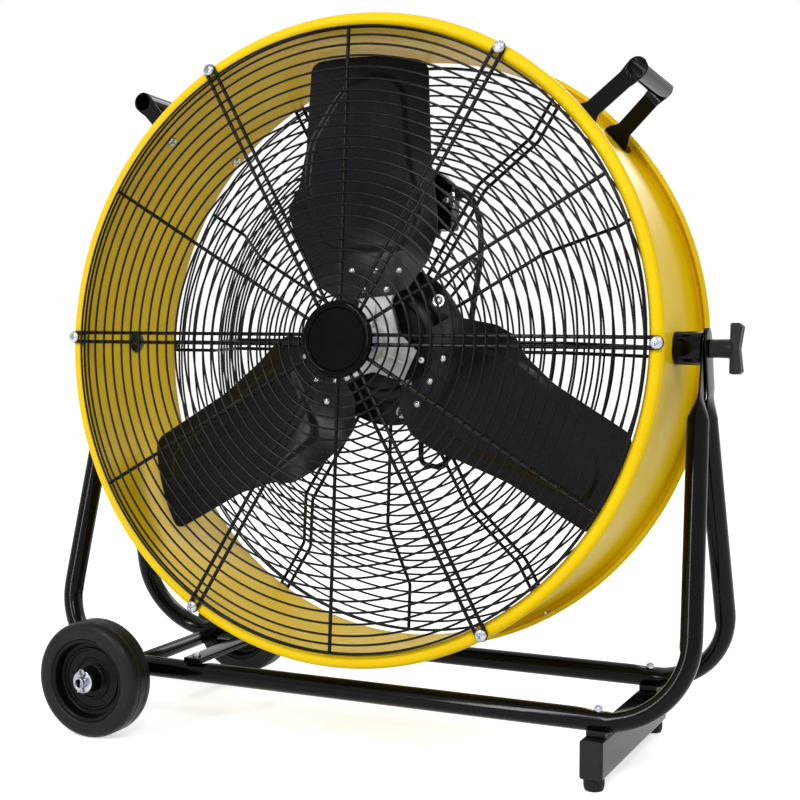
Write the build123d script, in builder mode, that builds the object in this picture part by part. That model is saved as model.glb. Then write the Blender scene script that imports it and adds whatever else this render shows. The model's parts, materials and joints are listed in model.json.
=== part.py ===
from build123d import *
import os
from math import asin, atan2, cos, degrees, hypot, radians, sin, sqrt, tan

# Tilting drum fan on wheels, in millimetres. +Z is up and -Y is the front; the origin lies on
# the floor under the middle of the pivot axis. The stand is modelled where it stands. The drum
# and all it carries are modelled square to the pivot, with the fan axis along Y and the pivot
# at the origin, and are placed together at the resting tilt when they are written.

# ---- Driving dimensions -----------------------------------------------------------------------

# Fits
turn_gap = 0.3  # between pieces that move on each other
hole_gap = 0.1  # hole over a fixed screw or pin, on the radius

# Stand
pivot_height = 420.0  # pivot axis above the floor
rest_tilt = 4.2  # drum tipped back at rest, degrees
tube_d = 22.0
tube_wall = 1.6
base_height = 64.0  # axis of the base tubes above the floor
base_spread = 94.0  # axis of each base tube from the middle
bend_radius = 82.0  # of the tube's axis
leg_splay = 2.5  # legs lean outwards going down, degrees
leg_inset = 0.8  # axis of a leg, inside the inner face of its tab
neck_drop = 72.0  # round tube starts this far below the pivot
tab_thickness = 3.0  # tube pressed flat at the pivot
tab_width = 29.0
tab_top = 21.0  # tab above the pivot
tab_low = 46.0  # flat part ends this far below the pivot
foot_inset = 2.0  # foot bar, in from the end of the straight base tube
foot_bar_width = 23.0
foot_bar_length = 236.0
foot_bar_wall = 1.8
saddle_height = 3.0  # gap between tube and foot bar
saddle_length = 20.0
foot_d = 20.5
foot_height = 12.0
foot_spread = 107.0
strap_x = -180.0
strap_width = 21.0
strap_thickness = 6.0
strap_overhang = 10.0  # strap past the axis of each base tube
plug_depth = 10.0  # end plugs in the foot bar
stand_bolt_d = 5.0
stand_nut_width = 8.0
stand_nut = 4.0
stand_bolt_head = 3.5
stand_bolt_tail = 1.5  # bolt past its nut
strap_bolt_length = 18.0

# Wheels
wheel_r = 62.5
wheel_y = 157.0
tyre_width = 36.0
tyre_depth = 17.5
tyre_shoulder = 8.0
hub_width = 40.0
hub_boss_r = 12.0
hub_web = 9.0
hub_rim = 5.0
axle_d = 12.0
axle_wall = 1.5
axle_inset = 7.4  # axle, in from the end of the straight base tube
sleeve_d = 16.0
axle_washer_d = 24.0
washer_thickness = 2.0
pin_d = 3.0
axle_tail = 5.0  # axle past its pin

# Drum
bore_r = 320.4
sheet = 1.5
drum_front = 101.5  # front face of the bead, ahead of the pivot
bead_r = 7.3
bead_turn = 250.0  # degrees that the front edge is rolled
flare_start = 60.0  # the rear mouth opens out from here
flare_end = 86.0
flare_radius = 104.5
rear_turn_r = 4.0
rear_roll_r = 3.9
rear_flange_end = 332.0

# Guards
wire = 4.0  # spokes
ring_wire = 2.4
loop_gap = 10.0  # between the axes of a double spoke
screw_circle = 329.75
spoke_count = 6
outer_ring = 319.0
rim_pitch = 9.3  # two outer gaps
ring_pitch = 11.6
weld_sink = 0.4
cone_outer = 268.0
cone_inner = 197.0
dish_y = 27.0  # middle of the spokes in the flat centre of the rear guard
mount_ring_inner = 70.0
mount_ring_outer = 81.0
mount_ring_thickness = 2.0
guard_plate_r = 36.0
guard_screw_d = 4.0
guard_screw_head_d = 12.5
guard_screw_head = 3.0

# Badge cap
badge_r = 39.5
badge_rim = 7.5
badge_height = 6.4
badge_recess = 2.8
badge_disc_thickness = 0.8

# Handles
handle_angle = 43.2  # above the pivot, degrees
grip_r = 394.5  # axis of the grip from the fan axis
grip_d = 21.0
grip_wall = 2.0
grip_half = 48.0
handle_foot = 58.0  # bend of each leg at the drum, from the middle
handle_sheet = 2.5
handle_eye_r = 12.0
leg_width = 18.0
leg_flare = 14.0  # height of the widening at the foot
foot_flange_width = 32.0
foot_flange_end = 82.0
handle_screw_y = 68.0
handle_screw_d = 6.0

# Pivots and T-knobs
pivot_d = 10.0
boss_d = 33.4
boss_length = 27.6
pivot_head_d = 25.0
pivot_head = 5.0
insert_d = 14.0
insert_length = 13.0
knob_stem_d = 18.6
knob_stem_length = 20.2
knob_bar_thickness = 11.8
knob_bar_half = 25.0
knob_bar_width = 14.0
knob_dip = 3.0  # in the middle of the outer face
knob_chamfer = 3.0
knob_inner_chamfer = 1.4

# Blades and hub
blade_tip_r = 307.5
blade_sheet = 1.5
blade_y = -23.25  # middle of the flat root
blade_axis_x = -12.0  # the blade twists about this line
blade_outline = (  # x and height, with the blade pointing up
    (-70.8, 330),
    (-73, 205),
    (-81, 165),
    (-93, 143),
    (-91, 118),
    (-71, 63),
    (-42, 46),
    (22, 52),
    (40, 60),
    (60, 88),
    (63, 118),
    (49.3, 200),
    (43.8, 330),
)
blade_corner_radii = [60, 8, 12, 30, 24, 14, 12, 12, 20, 60, 60]
blade_stations = ((40, 0), (86, 0), (135, 19), (200, 24), (315, 21))  # radius, pitch in degrees
tip_corner_r = 13.0
rivet_d = 5.0
rivet_head_d = 8.0
rivet_head = 2.4
rivet_spots = ((-28, 78), (0, 78), (28, 78), (-14, 58), (14, 58))
spider_thickness = 4.5
spider_core_r = 30.0
lobe_inner = 36.0
lobe_outer = 74.0
lobe_waist = 47.0
lobe_end = 85.0
spider_boss_r = 18.0
spider_boss_front = -36.0
spider_boss_rear = 0.0
shaft_d = 15.0
shaft_thread_d = 12.0
hub_nut_width = 19.0
hub_nut_height = 10.0
thread_tail = 4.0

# Motor
motor_r = 62.0
motor_shell = 2.0
motor_front = 4.0
plate_thickness = 2.5
plate_r = 87.5
plate_hole_r = 57.0
motor_rear = 86.0
bell_depth = 16.0
bell_wall = 3.0
bearing_d = 35.0
bearing_width = 11.0
shaft_hole_gap = 1.0
ear_r = 6.0
tie_circle = 67.0
tie_d = 5.0
tie_angle = 27.0
plate_screw_circle = 74.0
plate_screw_angle = 42.0
plate_screw_d = 5.0
plate_washer_d = 14.0
plate_washer = 1.2
plate_spare_hole_d = 6.8
plate_spare_angle = 52.5
stack_front = 30.0
stack_length = 36.0
stator_bore_r = 32.5
air_gap = 0.5
coil_inner = 37.0
coil_outer = 53.0
coil_depth = 11.0

# Switch box and lead
box_left = 14.0
box_right = 62.0
box_bottom = 128.0
box_top = 192.0
box_corner = 17.0
box_depth = 20.0
box_wall = 2.0
box_lid = 2.5
bracket_thickness = 1.5
bracket_gap = 1.0  # bracket behind the rings of the rear guard
bracket_screw = (56.0, 159.3)
bracket_screw_d = 4.0
clamp_plate = (16.0, 17.0, 1.0)  # width, height, thickness under the bracket's screw
capacitor_d = 16.0
capacitor_length = 42.0
gland_d = 14.0
gland_length = 7.0
gland_sink = 0.5  # gland cut to the round of the barrel
lead_d = 6.6
lead_y = 45.0
lead_exit = 167.5  # height at which the lead leaves the switch box
spindle_d = 6.0
spindle_length = 9.0
switch_knob_d = 30.0
switch_knob_height = 14.0
switch_knob_grip = 7.0
clip_length = 5.0
clip_spot = (92.2, 93.0)  # on the lead's route
clip_wall = 1.6
clip_rod = 3.4
clip_loop_gap = 12.0  # between the axes of the loop's rods
clip_loop_angle = 48.0
clip_loop_reach = 54.0  # from the plate's screw
hook_d = 6.0
hook_points = ((34, -100), (34, -128), (62, -132), (70, -106))

# ---- Worked out from them ---------------------------------------------------------------------

wall_mid = bore_r + sheet / 2
wall_r = bore_r + sheet
tab_x = wall_r + boss_length + turn_gap
knob_x = tab_x + 2 * tab_thickness + turn_gap
base_drop = hypot(base_spread, pivot_height - base_height)
leg_x = tab_x - leg_inset
corner_x = leg_x + (base_drop - neck_drop) * tan(radians(leg_splay))
straight_end = corner_x - bend_radius * tan(radians((90 + leg_splay) / 2))
foot_x = straight_end - foot_inset
axle_x = axle_inset - straight_end
tube_top = base_height + tube_d / 2
foot_bar_top = base_height - tube_d / 2 - saddle_height
foot_bar_middle = (foot_bar_top + foot_height) / 2
bead_y = bead_r - drum_front
flare_angle = degrees(asin((flare_end - flare_start) / flare_radius))
blade_back = blade_y + blade_sheet / 2
spokes_front = -drum_front - wire  # front of the front spokes
dish_front = dish_y - wire / 2
dish_back = dish_y + wire / 2
box_front = dish_back + ring_wire + bracket_gap + bracket_thickness
box_rear = box_front + box_depth
box_middle = ((box_left + box_right) / 2, (box_bottom + box_top) / 2)

drum_place = Location((0, 0, pivot_height), (-rest_tilt, 0, 0))


def across(y):
    """Plane across the fan axis at y, seen from the front; an extrusion runs forwards."""
    return Plane.XZ.offset(-y)


def disc(radius, front, rear, mode=Mode.ADD):
    """Round plate on the fan axis from front to rear."""
    with BuildSketch(across(rear)) as face:
        Circle(radius)
    extrude(face.sketch, amount=rear - front, mode=mode)


# ---- Stand ------------------------------------------------------------------------------------


def hoop(side, tab_middle):
    """Bent tube of the stand with a flat, pierced tab at each end; side is -1 in front."""
    up = Vector(0, -side * base_spread, pivot_height - base_height).normalized()
    plane = Plane(origin=(0, 0, pivot_height), x_dir=(1, 0, 0), z_dir=Vector(1, 0, 0).cross(up))
    with BuildLine(plane) as route:
        FilletPolyline(
            (-leg_x, -neck_drop),
            (-corner_x, -base_drop),
            (corner_x, -base_drop),
            (leg_x, -neck_drop),
            radius=bend_radius,
        )
    with BuildSketch(Plane(origin=route.line @ 0, z_dir=route.line % 0)) as section:
        Circle(tube_d / 2)
        Circle(tube_d / 2 - tube_wall, mode=Mode.SUBTRACT)
    sweep(section.sketch, path=route.line)
    for end in (-1, 1):
        neck = plane.from_local_coords(Vector(end * leg_x, -neck_drop, 0))
        leg_up = up + Vector(-end * tan(radians(leg_splay)), 0, 0)
        with BuildSketch(Plane(origin=neck, x_dir=plane.z_dir, z_dir=leg_up)) as neck_round:
            Circle(tube_d / 2)
        shoulder = plane.from_local_coords(Vector(end * tab_middle, -tab_low, 0))
        with BuildSketch(Plane(origin=shoulder, x_dir=plane.z_dir, z_dir=up)) as neck_flat:
            Ellipse(tab_width / 2, tab_thickness / 2 - hole_gap)
        loft([neck_round.sketch.face(), neck_flat.sketch.face()])
        face = plane.from_local_coords(Vector(end * tab_middle - tab_thickness / 2, 0, 0))
        round_centre = tab_top - tab_width / 2
        with BuildSketch(Plane(origin=face, x_dir=up, z_dir=(1, 0, 0))) as tab:
            with Locations((round_centre, 0)):
                Circle(tab_width / 2)
            with Locations(((round_centre - tab_low) / 2, 0)):
                Rectangle(round_centre + tab_low, tab_width)
            Circle(pivot_d / 2 + turn_gap, mode=Mode.SUBTRACT)
        extrude(tab.sketch, amount=tab_thickness)
    with BuildSketch(Plane.XZ.offset(-side * base_spread)) as axle_hole:
        with Locations((axle_x, wheel_r)):
            Circle(axle_d / 2 + hole_gap)
    extrude(axle_hole.sketch, amount=tube_d, both=True, mode=Mode.SUBTRACT)
    for spot_x, depth in ((foot_x, tube_d), (strap_x, tube_d / 2)):
        with BuildSketch(Plane.XY.offset(tube_top)) as bolt_hole:
            with Locations((spot_x, side * base_spread)):
                Circle(stand_bolt_d / 2 + hole_gap)
        extrude(bolt_hole.sketch, amount=-depth, mode=Mode.SUBTRACT)


with BuildPart() as front_frame_tube:
    hoop(-1, tab_x + tab_thickness / 2)

with BuildPart() as rear_frame_tube:
    hoop(1, tab_x + tab_thickness * 3 / 2)

base_spots = [(foot_x, -base_spread), (foot_x, base_spread)]
strap_spots = [(strap_x, -base_spread), (strap_x, base_spread)]

with BuildPart() as foot_bar:
    bar_height = foot_bar_top - foot_height
    with BuildSketch(Plane.XZ):
        with Locations((foot_x, foot_bar_middle)):
            Rectangle(foot_bar_width, bar_height)
            Rectangle(foot_bar_width - 2 * foot_bar_wall, bar_height - 2 * foot_bar_wall, mode=Mode.SUBTRACT)
    extrude(amount=foot_bar_length / 2, both=True)
    with BuildSketch(Plane.XY.offset(foot_bar_top)):
        with Locations(base_spots):
            Circle(stand_bolt_d / 2 + hole_gap)
    extrude(amount=-2 * foot_bar_wall, mode=Mode.SUBTRACT)

with BuildPart() as foot_bar_saddles:
    with BuildSketch(Plane.XY.offset(foot_bar_top)):
        with Locations(base_spots):
            Rectangle(foot_bar_width - 2 * foot_bar_wall, saddle_length)
            Circle(stand_bolt_d / 2 + hole_gap, mode=Mode.SUBTRACT)
    extrude(amount=saddle_height + tube_d / 8)
    with BuildSketch(Plane.YZ.offset(foot_x)):
        with Locations((-base_spread, base_height), (base_spread, base_height)):
            Circle(tube_d / 2)
    extrude(amount=foot_bar_width, both=True, mode=Mode.SUBTRACT)

with BuildPart() as rubber_feet:
    with BuildSketch(Plane.XY):
        with Locations((foot_x, -foot_spread), (foot_x, foot_spread)):
            Circle(foot_d / 2)
    extrude(amount=foot_height)
    fillet(rubber_feet.edges().group_by(Axis.Z)[0], foot_height / 6)


with BuildPart() as foot_bar_plugs:
    with BuildSketch(Plane.XZ.offset(-foot_bar_length / 2)) as plug:
        with Locations((foot_x, foot_bar_middle)):
            Rectangle(
                foot_bar_width - 2 * foot_bar_wall - 2 * hole_gap,
                bar_height - 2 * foot_bar_wall - 2 * hole_gap,
            )
    extrude(amount=plug_depth)
    mirror(about=Plane.XZ)


def hexagons(spots, seat, height, width):
    """Hexagonal heads or nuts standing on seat, or hanging from it where height is negative."""
    with BuildSketch(Plane.XY.offset(seat)) as outlines:
        with Locations(spots):
            RegularPolygon(width / 2, 6, major_radius=False)
    extrude(outlines.sketch, amount=height)


def shanks(spots, start, length):
    """Bolt shanks from z = start, up or down."""
    with BuildSketch(Plane.XY.offset(start)) as rounds:
        with Locations(spots):
            Circle(stand_bolt_d / 2)
    extrude(rounds.sketch, amount=length)


with BuildPart() as foot_bolts:
    foot_bolt_seat = foot_bar_top - foot_bar_wall
    hexagons(base_spots, foot_bolt_seat, -stand_bolt_head, stand_nut_width)
    hexagons(base_spots, tube_top, stand_nut, stand_nut_width)
    shanks(base_spots, foot_bolt_seat, tube_top - foot_bolt_seat + stand_nut + stand_bolt_tail)

with BuildPart() as cross_strap:
    with BuildSketch(Plane.XY.offset(tube_top)):
        with Locations((strap_x, 0)):
            Rectangle(strap_width, 2 * (base_spread + strap_overhang))
        with Locations(strap_spots):
            Circle(stand_bolt_d / 2 + hole_gap, mode=Mode.SUBTRACT)
    extrude(amount=strap_thickness)

with BuildPart() as strap_bolts:
    strap_top = tube_top + strap_thickness
    hexagons(strap_spots, strap_top, stand_bolt_head, stand_nut_width)
    shanks(strap_spots, strap_top, -strap_bolt_length)

# ---- Axle and wheels --------------------------------------------------------------------------

hub_inner = wheel_y - hub_width / 2
hub_outer = wheel_y + hub_width / 2
washer_inner = hub_inner - turn_gap - washer_thickness
washer_outer = hub_outer + turn_gap
pin_y = washer_outer + washer_thickness + pin_d / 2 + hole_gap


def axle_ring(outer_d, start, length):
    """Ring on the axle from y = start, with its twin on the other side of the stand."""
    for side in (-1, 1):
        with BuildSketch(Plane.XZ.offset(side * start)) as ring:
            with Locations((axle_x, wheel_r)):
                Circle(outer_d / 2)
                Circle(axle_d / 2 + hole_gap, mode=Mode.SUBTRACT)
        extrude(ring.sketch, amount=side * length)


with BuildPart() as wheel_axle:
    with BuildSketch(Plane.XZ):
        with Locations((axle_x, wheel_r)):
            Circle(axle_d / 2)
            Circle(axle_d / 2 - axle_wall, mode=Mode.SUBTRACT)
    extrude(amount=pin_y + axle_tail, both=True)
    with BuildSketch(Plane.XY.offset(wheel_r)):
        with Locations((axle_x, -pin_y), (axle_x, pin_y)):
            Circle(pin_d / 2 + hole_gap)
    extrude(amount=axle_d, both=True, mode=Mode.SUBTRACT)

with BuildPart() as axle_sleeves:
    with BuildSketch(Plane.XZ):
        with Locations((axle_x, wheel_r)):
            Circle(sleeve_d / 2)
            Circle(axle_d / 2 + hole_gap, mode=Mode.SUBTRACT)
    extrude(amount=base_spread - tube_d / 2, both=True)
    axle_ring(sleeve_d, base_spread + tube_d / 2, washer_inner - base_spread - tube_d / 2)

with BuildPart() as axle_washers:
    axle_ring(axle_washer_d, washer_inner, washer_thickness)
    axle_ring(axle_washer_d, washer_outer, washer_thickness)

with BuildPart() as split_pins:
    pin_top = wheel_r + axle_d / 2 + pin_d
    with BuildSketch(Plane.XY.offset(pin_top)):
        with Locations((axle_x, -pin_y), (axle_x, pin_y)):
            Circle(pin_d / 2)
    extrude(amount=-axle_d - 3 * pin_d)
    with Locations((axle_x, -pin_y, pin_top + pin_d / 2), (axle_x, pin_y, pin_top + pin_d / 2)):
        Torus(pin_d, pin_d / 2 - hole_gap, rotation=(90, 0, 0))

with BuildPart() as front_tyre:
    with BuildSketch(Plane.YZ.offset(axle_x)):
        with Locations((-wheel_y, wheel_r + wheel_r - tyre_depth / 2)):
            Rectangle(tyre_width, tyre_depth)
        fillet(vertices().group_by(Axis.Y)[-1], tyre_shoulder)
    revolve(axis=Axis((axle_x, 0, wheel_r), (0, 1, 0)))

with BuildPart() as front_wheel_hub:
    rim_r = wheel_r - tyre_depth
    with BuildSketch(Plane.YZ.offset(axle_x)):
        with Locations((-wheel_y, wheel_r + rim_r - hub_rim / 2)):
            Rectangle(tyre_width - 2 * washer_thickness, hub_rim)
        with Locations((-wheel_y, wheel_r + rim_r / 2)):
            Rectangle(hub_web, rim_r)
        with Locations((-wheel_y, wheel_r + hub_boss_r / 2)):
            Rectangle(hub_width, hub_boss_r)
    revolve(axis=Axis((axle_x, 0, wheel_r), (0, 1, 0)))
    with BuildSketch(Plane.XZ):
        with Locations((axle_x, wheel_r)):
            Circle(axle_d / 2 + turn_gap)
    extrude(amount=2 * wheel_y, both=True, mode=Mode.SUBTRACT)

with BuildPart() as rear_tyre:
    mirror(front_tyre.part, about=Plane.XZ)

with BuildPart() as rear_wheel_hub:
    mirror(front_wheel_hub.part, about=Plane.XZ)

# ---- Drum -------------------------------------------------------------------------------------


def flare(y):
    """Rise of the wall over its straight radius at y."""
    past = max(0.0, y - flare_start)
    return flare_radius - sqrt(flare_radius**2 - past**2)


with BuildPart() as drum_shell:
    curl = bead_r - sheet / 2
    flare_mid = (wall_mid + flare_radius, flare_start)
    with BuildSketch(Plane.XY):
        with BuildLine() as edge:
            CenterArc((wall_mid + curl, bead_y), curl, 180, bead_turn)
            Line((wall_mid, bead_y), (wall_mid, flare_start))
            mouth = CenterArc(flare_mid, flare_radius, 180, -flare_angle)
            turn = flare_angle
            shift = Vector(cos(radians(turn)), -sin(radians(turn))) * rear_turn_r
            turn_mid = mouth @ 1 + shift
            back = CenterArc(turn_mid, rear_turn_r, 180 - turn, turn - 90)
            lip = Line(back @ 1, (rear_flange_end, (back @ 1).Y))
            CenterArc((rear_flange_end, (lip @ 1).Y - rear_roll_r), rear_roll_r, 90, -180)
        trace(edge.edges(), sheet)
    revolve(axis=Axis.Y)
    rim_rear = (lip @ 1).Y + sheet / 2
    with BuildSketch(Plane.YZ):
        Circle(pivot_d / 2 + hole_gap)
    extrude(amount=2 * bore_r, both=True, mode=Mode.SUBTRACT)
    for angle in (handle_angle, 180 - handle_angle):
        beam = Plane(origin=(0, 0, 0), x_dir=(0, 1, 0), z_dir=(cos(radians(angle)), 0, sin(radians(angle))))
        with BuildSketch(beam):
            with Locations((-handle_screw_y, 0), (handle_screw_y, 0)):
                Circle(handle_screw_d / 2 + hole_gap)
        extrude(amount=2 * bore_r, mode=Mode.SUBTRACT)
    for front in (-drum_front - sheet, rim_rear - 3 * sheet):
        with BuildSketch(across(front + 4 * sheet)):
            with PolarLocations(screw_circle, spoke_count):
                Circle(guard_screw_d / 2 + hole_gap)
        extrude(amount=4 * sheet, mode=Mode.SUBTRACT)

# ---- Guards -----------------------------------------------------------------------------------

with BuildPart() as front_guard:
    loop_inner = guard_plate_r - wire
    with BuildSketch(across(-drum_front)):
        with PolarLocations((screw_circle + loop_inner) / 2, spoke_count):
            SlotCenterToCenter(screw_circle - loop_inner, loop_gap + wire)
            SlotCenterToCenter(screw_circle - loop_inner, loop_gap - wire, mode=Mode.SUBTRACT)
        with PolarLocations((outer_ring + loop_inner) / 2, spoke_count, start_angle=180 / spoke_count):
            Rectangle(outer_ring - loop_inner + ring_wire, wire)
        Circle(guard_plate_r)
    extrude(amount=wire)
    ring_radii = [outer_ring, outer_ring - rim_pitch]
    while ring_radii[-1] - ring_pitch > badge_r:
        gap = rim_pitch if len(ring_radii) < 3 else ring_pitch
        ring_radii.append(ring_radii[-1] - gap)
    with BuildSketch(across(spokes_front + weld_sink)):
        for radius in ring_radii:
            Circle(radius + ring_wire / 2)
            Circle(radius - ring_wire / 2, mode=Mode.SUBTRACT)
    extrude(amount=ring_wire)
    with BuildSketch(across(-drum_front - weld_sink)):
        Circle(outer_ring + ring_wire / 2)
        Circle(outer_ring - ring_wire / 2, mode=Mode.SUBTRACT)
    extrude(amount=-ring_wire)

rear_wire_y = rim_rear + wire / 2  # middle of the rear spokes at the rim
cone_drop = rear_wire_y - dish_y
cone_length = hypot(cone_drop, cone_outer - cone_inner)


def rear_guard_point(run):
    """Radius and y on the middle of a rear spoke, run millimetres in from the edge of the cone."""
    if run <= 0:
        return cone_outer - run, rear_wire_y
    if run >= cone_length:
        return cone_inner - (run - cone_length), dish_y
    share = run / cone_length
    return cone_outer - share * (cone_outer - cone_inner), rear_wire_y - share * cone_drop


with BuildPart() as rear_spoke:
    bend = tan(atan2(cone_drop, cone_outer - cone_inner) / 2) * wire / 2
    profile = [
        (mount_ring_inner, dish_back),
        (cone_inner - bend, dish_back),
        (cone_outer - bend, rear_wire_y + wire / 2),
        (outer_ring + ring_wire / 2, rear_wire_y + wire / 2),
        (outer_ring + ring_wire / 2, rear_wire_y - wire / 2),
        (cone_outer + bend, rear_wire_y - wire / 2),
        (cone_inner + bend, dish_front),
        (mount_ring_inner, dish_front),
    ]
    with BuildSketch(Plane.XY):
        Polygon(*profile, align=None)
    extrude(amount=wire / 2, both=True)

with BuildPart() as rear_loop:
    for side in (-1, 1):
        with BuildSketch(Plane.XY.offset(side * loop_gap / 2)):
            Polygon(*profile, align=None)
        extrude(amount=wire / 2, both=True)
    with BuildSketch(across(rear_wire_y + wire / 2)):
        with Locations(((outer_ring + screw_circle) / 2, 0)):
            SlotCenterToCenter(screw_circle - outer_ring, loop_gap + wire)
            SlotCenterToCenter(screw_circle - outer_ring, loop_gap - wire, mode=Mode.SUBTRACT)
    extrude(amount=wire)

with BuildPart() as rear_guard:
    for k in range(spoke_count):
        add(rear_loop.part, rotation=(0, 360 / spoke_count * k, 0))
        add(rear_spoke.part, rotation=(0, 360 / spoke_count * (k + 0.5), 0))
    with BuildSketch(Plane.XY):
        run = cone_outer - outer_ring
        index = 0
        while rear_guard_point(run)[0] > plate_r + ring_wire:
            radius, y = rear_guard_point(run)
            with Locations((radius, y + wire / 2 + ring_wire / 2 - weld_sink)):
                Rectangle(ring_wire, ring_wire)
            run += rim_pitch if index < 2 else ring_pitch
            index += 1
        with Locations((outer_ring, rear_wire_y - wire / 2 - ring_wire / 2 + weld_sink)):
            Rectangle(ring_wire, ring_wire)
        ring_middle = (mount_ring_inner + mount_ring_outer) / 2
        with Locations((ring_middle, dish_back + mount_ring_thickness / 2 - weld_sink)):
            Rectangle(mount_ring_outer - mount_ring_inner, mount_ring_thickness)
    revolve(axis=Axis.Y)
    with BuildSketch(across(dish_back + mount_ring_thickness)):
        with PolarLocations(plate_screw_circle, 3, start_angle=plate_screw_angle):
            Circle(plate_screw_d / 2 + hole_gap)
        with PolarLocations(plate_screw_circle, 3, start_angle=plate_spare_angle):
            Circle(plate_spare_hole_d / 2)
    extrude(amount=wire, mode=Mode.SUBTRACT)


def pan_screws(circle, count, start_angle, seat, length, diameter, head_d, head, facing):
    """Pan screws along the fan axis, heads on seat; facing is -1 for heads to the front."""
    with BuildSketch(across(seat)) as heads:
        with PolarLocations(circle, count, start_angle=start_angle):
            Circle(head_d / 2)
    extrude(heads.sketch, amount=-facing * head, taper=20)
    with BuildSketch(across(seat)) as shanks:
        with PolarLocations(circle, count, start_angle=start_angle):
            Circle(diameter / 2)
    extrude(shanks.sketch, amount=facing * length)


with BuildPart() as guard_screws:
    pan_screws(
        screw_circle, spoke_count, 0, spokes_front, wire + bead_r + 2 * sheet,
        guard_screw_d, guard_screw_head_d, guard_screw_head, -1,
    )
    pan_screws(
        screw_circle, spoke_count, 0, rim_rear + wire, wire + 3 * sheet,
        guard_screw_d, guard_screw_head_d, guard_screw_head, 1,
    )

with BuildPart() as badge_cup:
    badge_front = spokes_front - badge_height
    floor_y = badge_front + badge_recess
    with BuildSketch(Plane.XY):
        with BuildLine():
            Polyline((0, spokes_front), (badge_r, spokes_front), (badge_r, badge_front + badge_rim / 2))
            SagittaArc((badge_r, badge_front + badge_rim / 2), (badge_r - badge_rim, floor_y), badge_rim / 2)
            Polyline((badge_r - badge_rim, floor_y), (0, floor_y), (0, spokes_front))
        make_face()
    revolve(axis=Axis.Y)

with BuildPart() as badge_disc:
    disc(badge_r - badge_rim - hole_gap, floor_y - badge_disc_thickness, floor_y)

# ---- Handles ----------------------------------------------------------------------------------

with BuildPart() as handle_blank:
    step = (sheet + handle_sheet) / 2
    foot_curve = flare_radius - step
    foot_sweep = degrees(asin((foot_flange_end - flare_start) / foot_curve))
    with BuildSketch(Plane.XY):
        with BuildLine() as foot_line:
            Line((wall_mid + step, handle_foot - handle_sheet), (wall_mid + step, flare_start))
            CenterArc(flare_mid, foot_curve, 180, -foot_sweep)
        trace(foot_line.edges(), handle_sheet)
        with BuildLine() as front_foot_line:
            Line((wall_mid + step, -foot_flange_end), (wall_mid + step, handle_sheet - handle_foot))
        trace(front_foot_line.edges(), handle_sheet)
    revolve(axis=Axis.Y)
    with BuildSketch(Plane.YZ):
        RectangleRounded(2 * foot_flange_end, foot_flange_width, foot_flange_width / 4)
        with Locations((-handle_screw_y, 0), (handle_screw_y, 0)):
            Circle(handle_screw_d / 2 + hole_gap, mode=Mode.SUBTRACT)
    extrude(amount=grip_r, mode=Mode.INTERSECT)
    drop = Vector(wall_r - grip_r, handle_foot - grip_half, 0)
    for side in (-1, 1):
        down = Vector(drop.X, side * drop.Y, 0).normalized()
        inner_face = (grip_r, side * (grip_half - handle_sheet), 0)
        outwards = Vector(drop.Y, -side * drop.X, 0)
        with BuildSketch(Plane(origin=inner_face, x_dir=down, z_dir=outwards)):
            Circle(handle_eye_r)
            Polygon(
                (0, -leg_width / 2),
                (drop.length - leg_flare, -leg_width / 2),
                (drop.length, -foot_flange_width / 2),
                (drop.length, foot_flange_width / 2),
                (drop.length - leg_flare, leg_width / 2),
                (0, leg_width / 2),
                align=None,
            )
        extrude(amount=handle_sheet)
    with BuildSketch(Plane.XZ):
        with Locations((grip_r, 0)):
            Circle(grip_d / 2)
    extrude(amount=grip_half + handle_sheet / 2, both=True)
    with BuildSketch(Plane.XZ):
        with Locations((grip_r, 0)):
            Circle(grip_d / 2 - grip_wall)
        Circle(wall_r)
    extrude(amount=handle_foot + handle_sheet / 2, both=True, mode=Mode.SUBTRACT)

with BuildPart() as handle_right:
    add(handle_blank.part, rotation=(0, -handle_angle, 0))

with BuildPart() as handle_left:
    add(handle_blank.part, rotation=(0, handle_angle - 180, 0))

with BuildPart() as handle_screw_pair:
    nut_r = handle_screw_d * 0.8
    head_seat = bore_r - hole_gap
    nut_seat = wall_r + handle_sheet + flare(handle_screw_y + nut_r) + hole_gap
    spots = ((-handle_screw_y, 0), (handle_screw_y, 0))
    with BuildSketch(Plane.YZ.offset(head_seat)):
        with Locations(spots):
            Circle(handle_screw_d * 0.9)
    extrude(amount=-handle_screw_d * 0.6, taper=20)
    with BuildSketch(Plane.YZ.offset(head_seat)):
        with Locations(spots):
            Circle(handle_screw_d / 2)
    extrude(amount=nut_seat - head_seat + handle_screw_d)
    with BuildSketch(Plane.YZ.offset(nut_seat)):
        with Locations(spots):
            RegularPolygon(nut_r, 6, major_radius=False)
    extrude(amount=handle_screw_d * 0.8)

with BuildPart() as handle_screws:
    add(handle_screw_pair.part, rotation=(0, -handle_angle, 0))
    add(handle_screw_pair.part, rotation=(0, handle_angle - 180, 0))

# ---- Pivots and T-knobs -----------------------------------------------------------------------

with BuildPart() as pivot_bosses:
    with BuildSketch(Plane.YZ):
        Circle(boss_d / 2)
        Circle(pivot_d / 2 + hole_gap, mode=Mode.SUBTRACT)
    extrude(amount=wall_r + boss_length)
    with BuildSketch(Plane.XZ):
        Circle(wall_r)
    extrude(amount=boss_d, both=True, mode=Mode.SUBTRACT)
    mirror(about=Plane.YZ)

with BuildPart() as pivot_bolt_right:
    head_face = sqrt(bore_r**2 - (pivot_head_d / 2) ** 2) - hole_gap
    with BuildSketch(Plane.YZ.offset(head_face)):
        Circle(pivot_head_d / 2)
    extrude(amount=-pivot_head, taper=25)
    with BuildSketch(Plane.YZ.offset(head_face)):
        Circle(pivot_d / 2)
    extrude(amount=knob_x + insert_length - head_face)

with BuildPart() as pivot_bolt_left:
    mirror(pivot_bolt_right.part, about=Plane.YZ)

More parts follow.
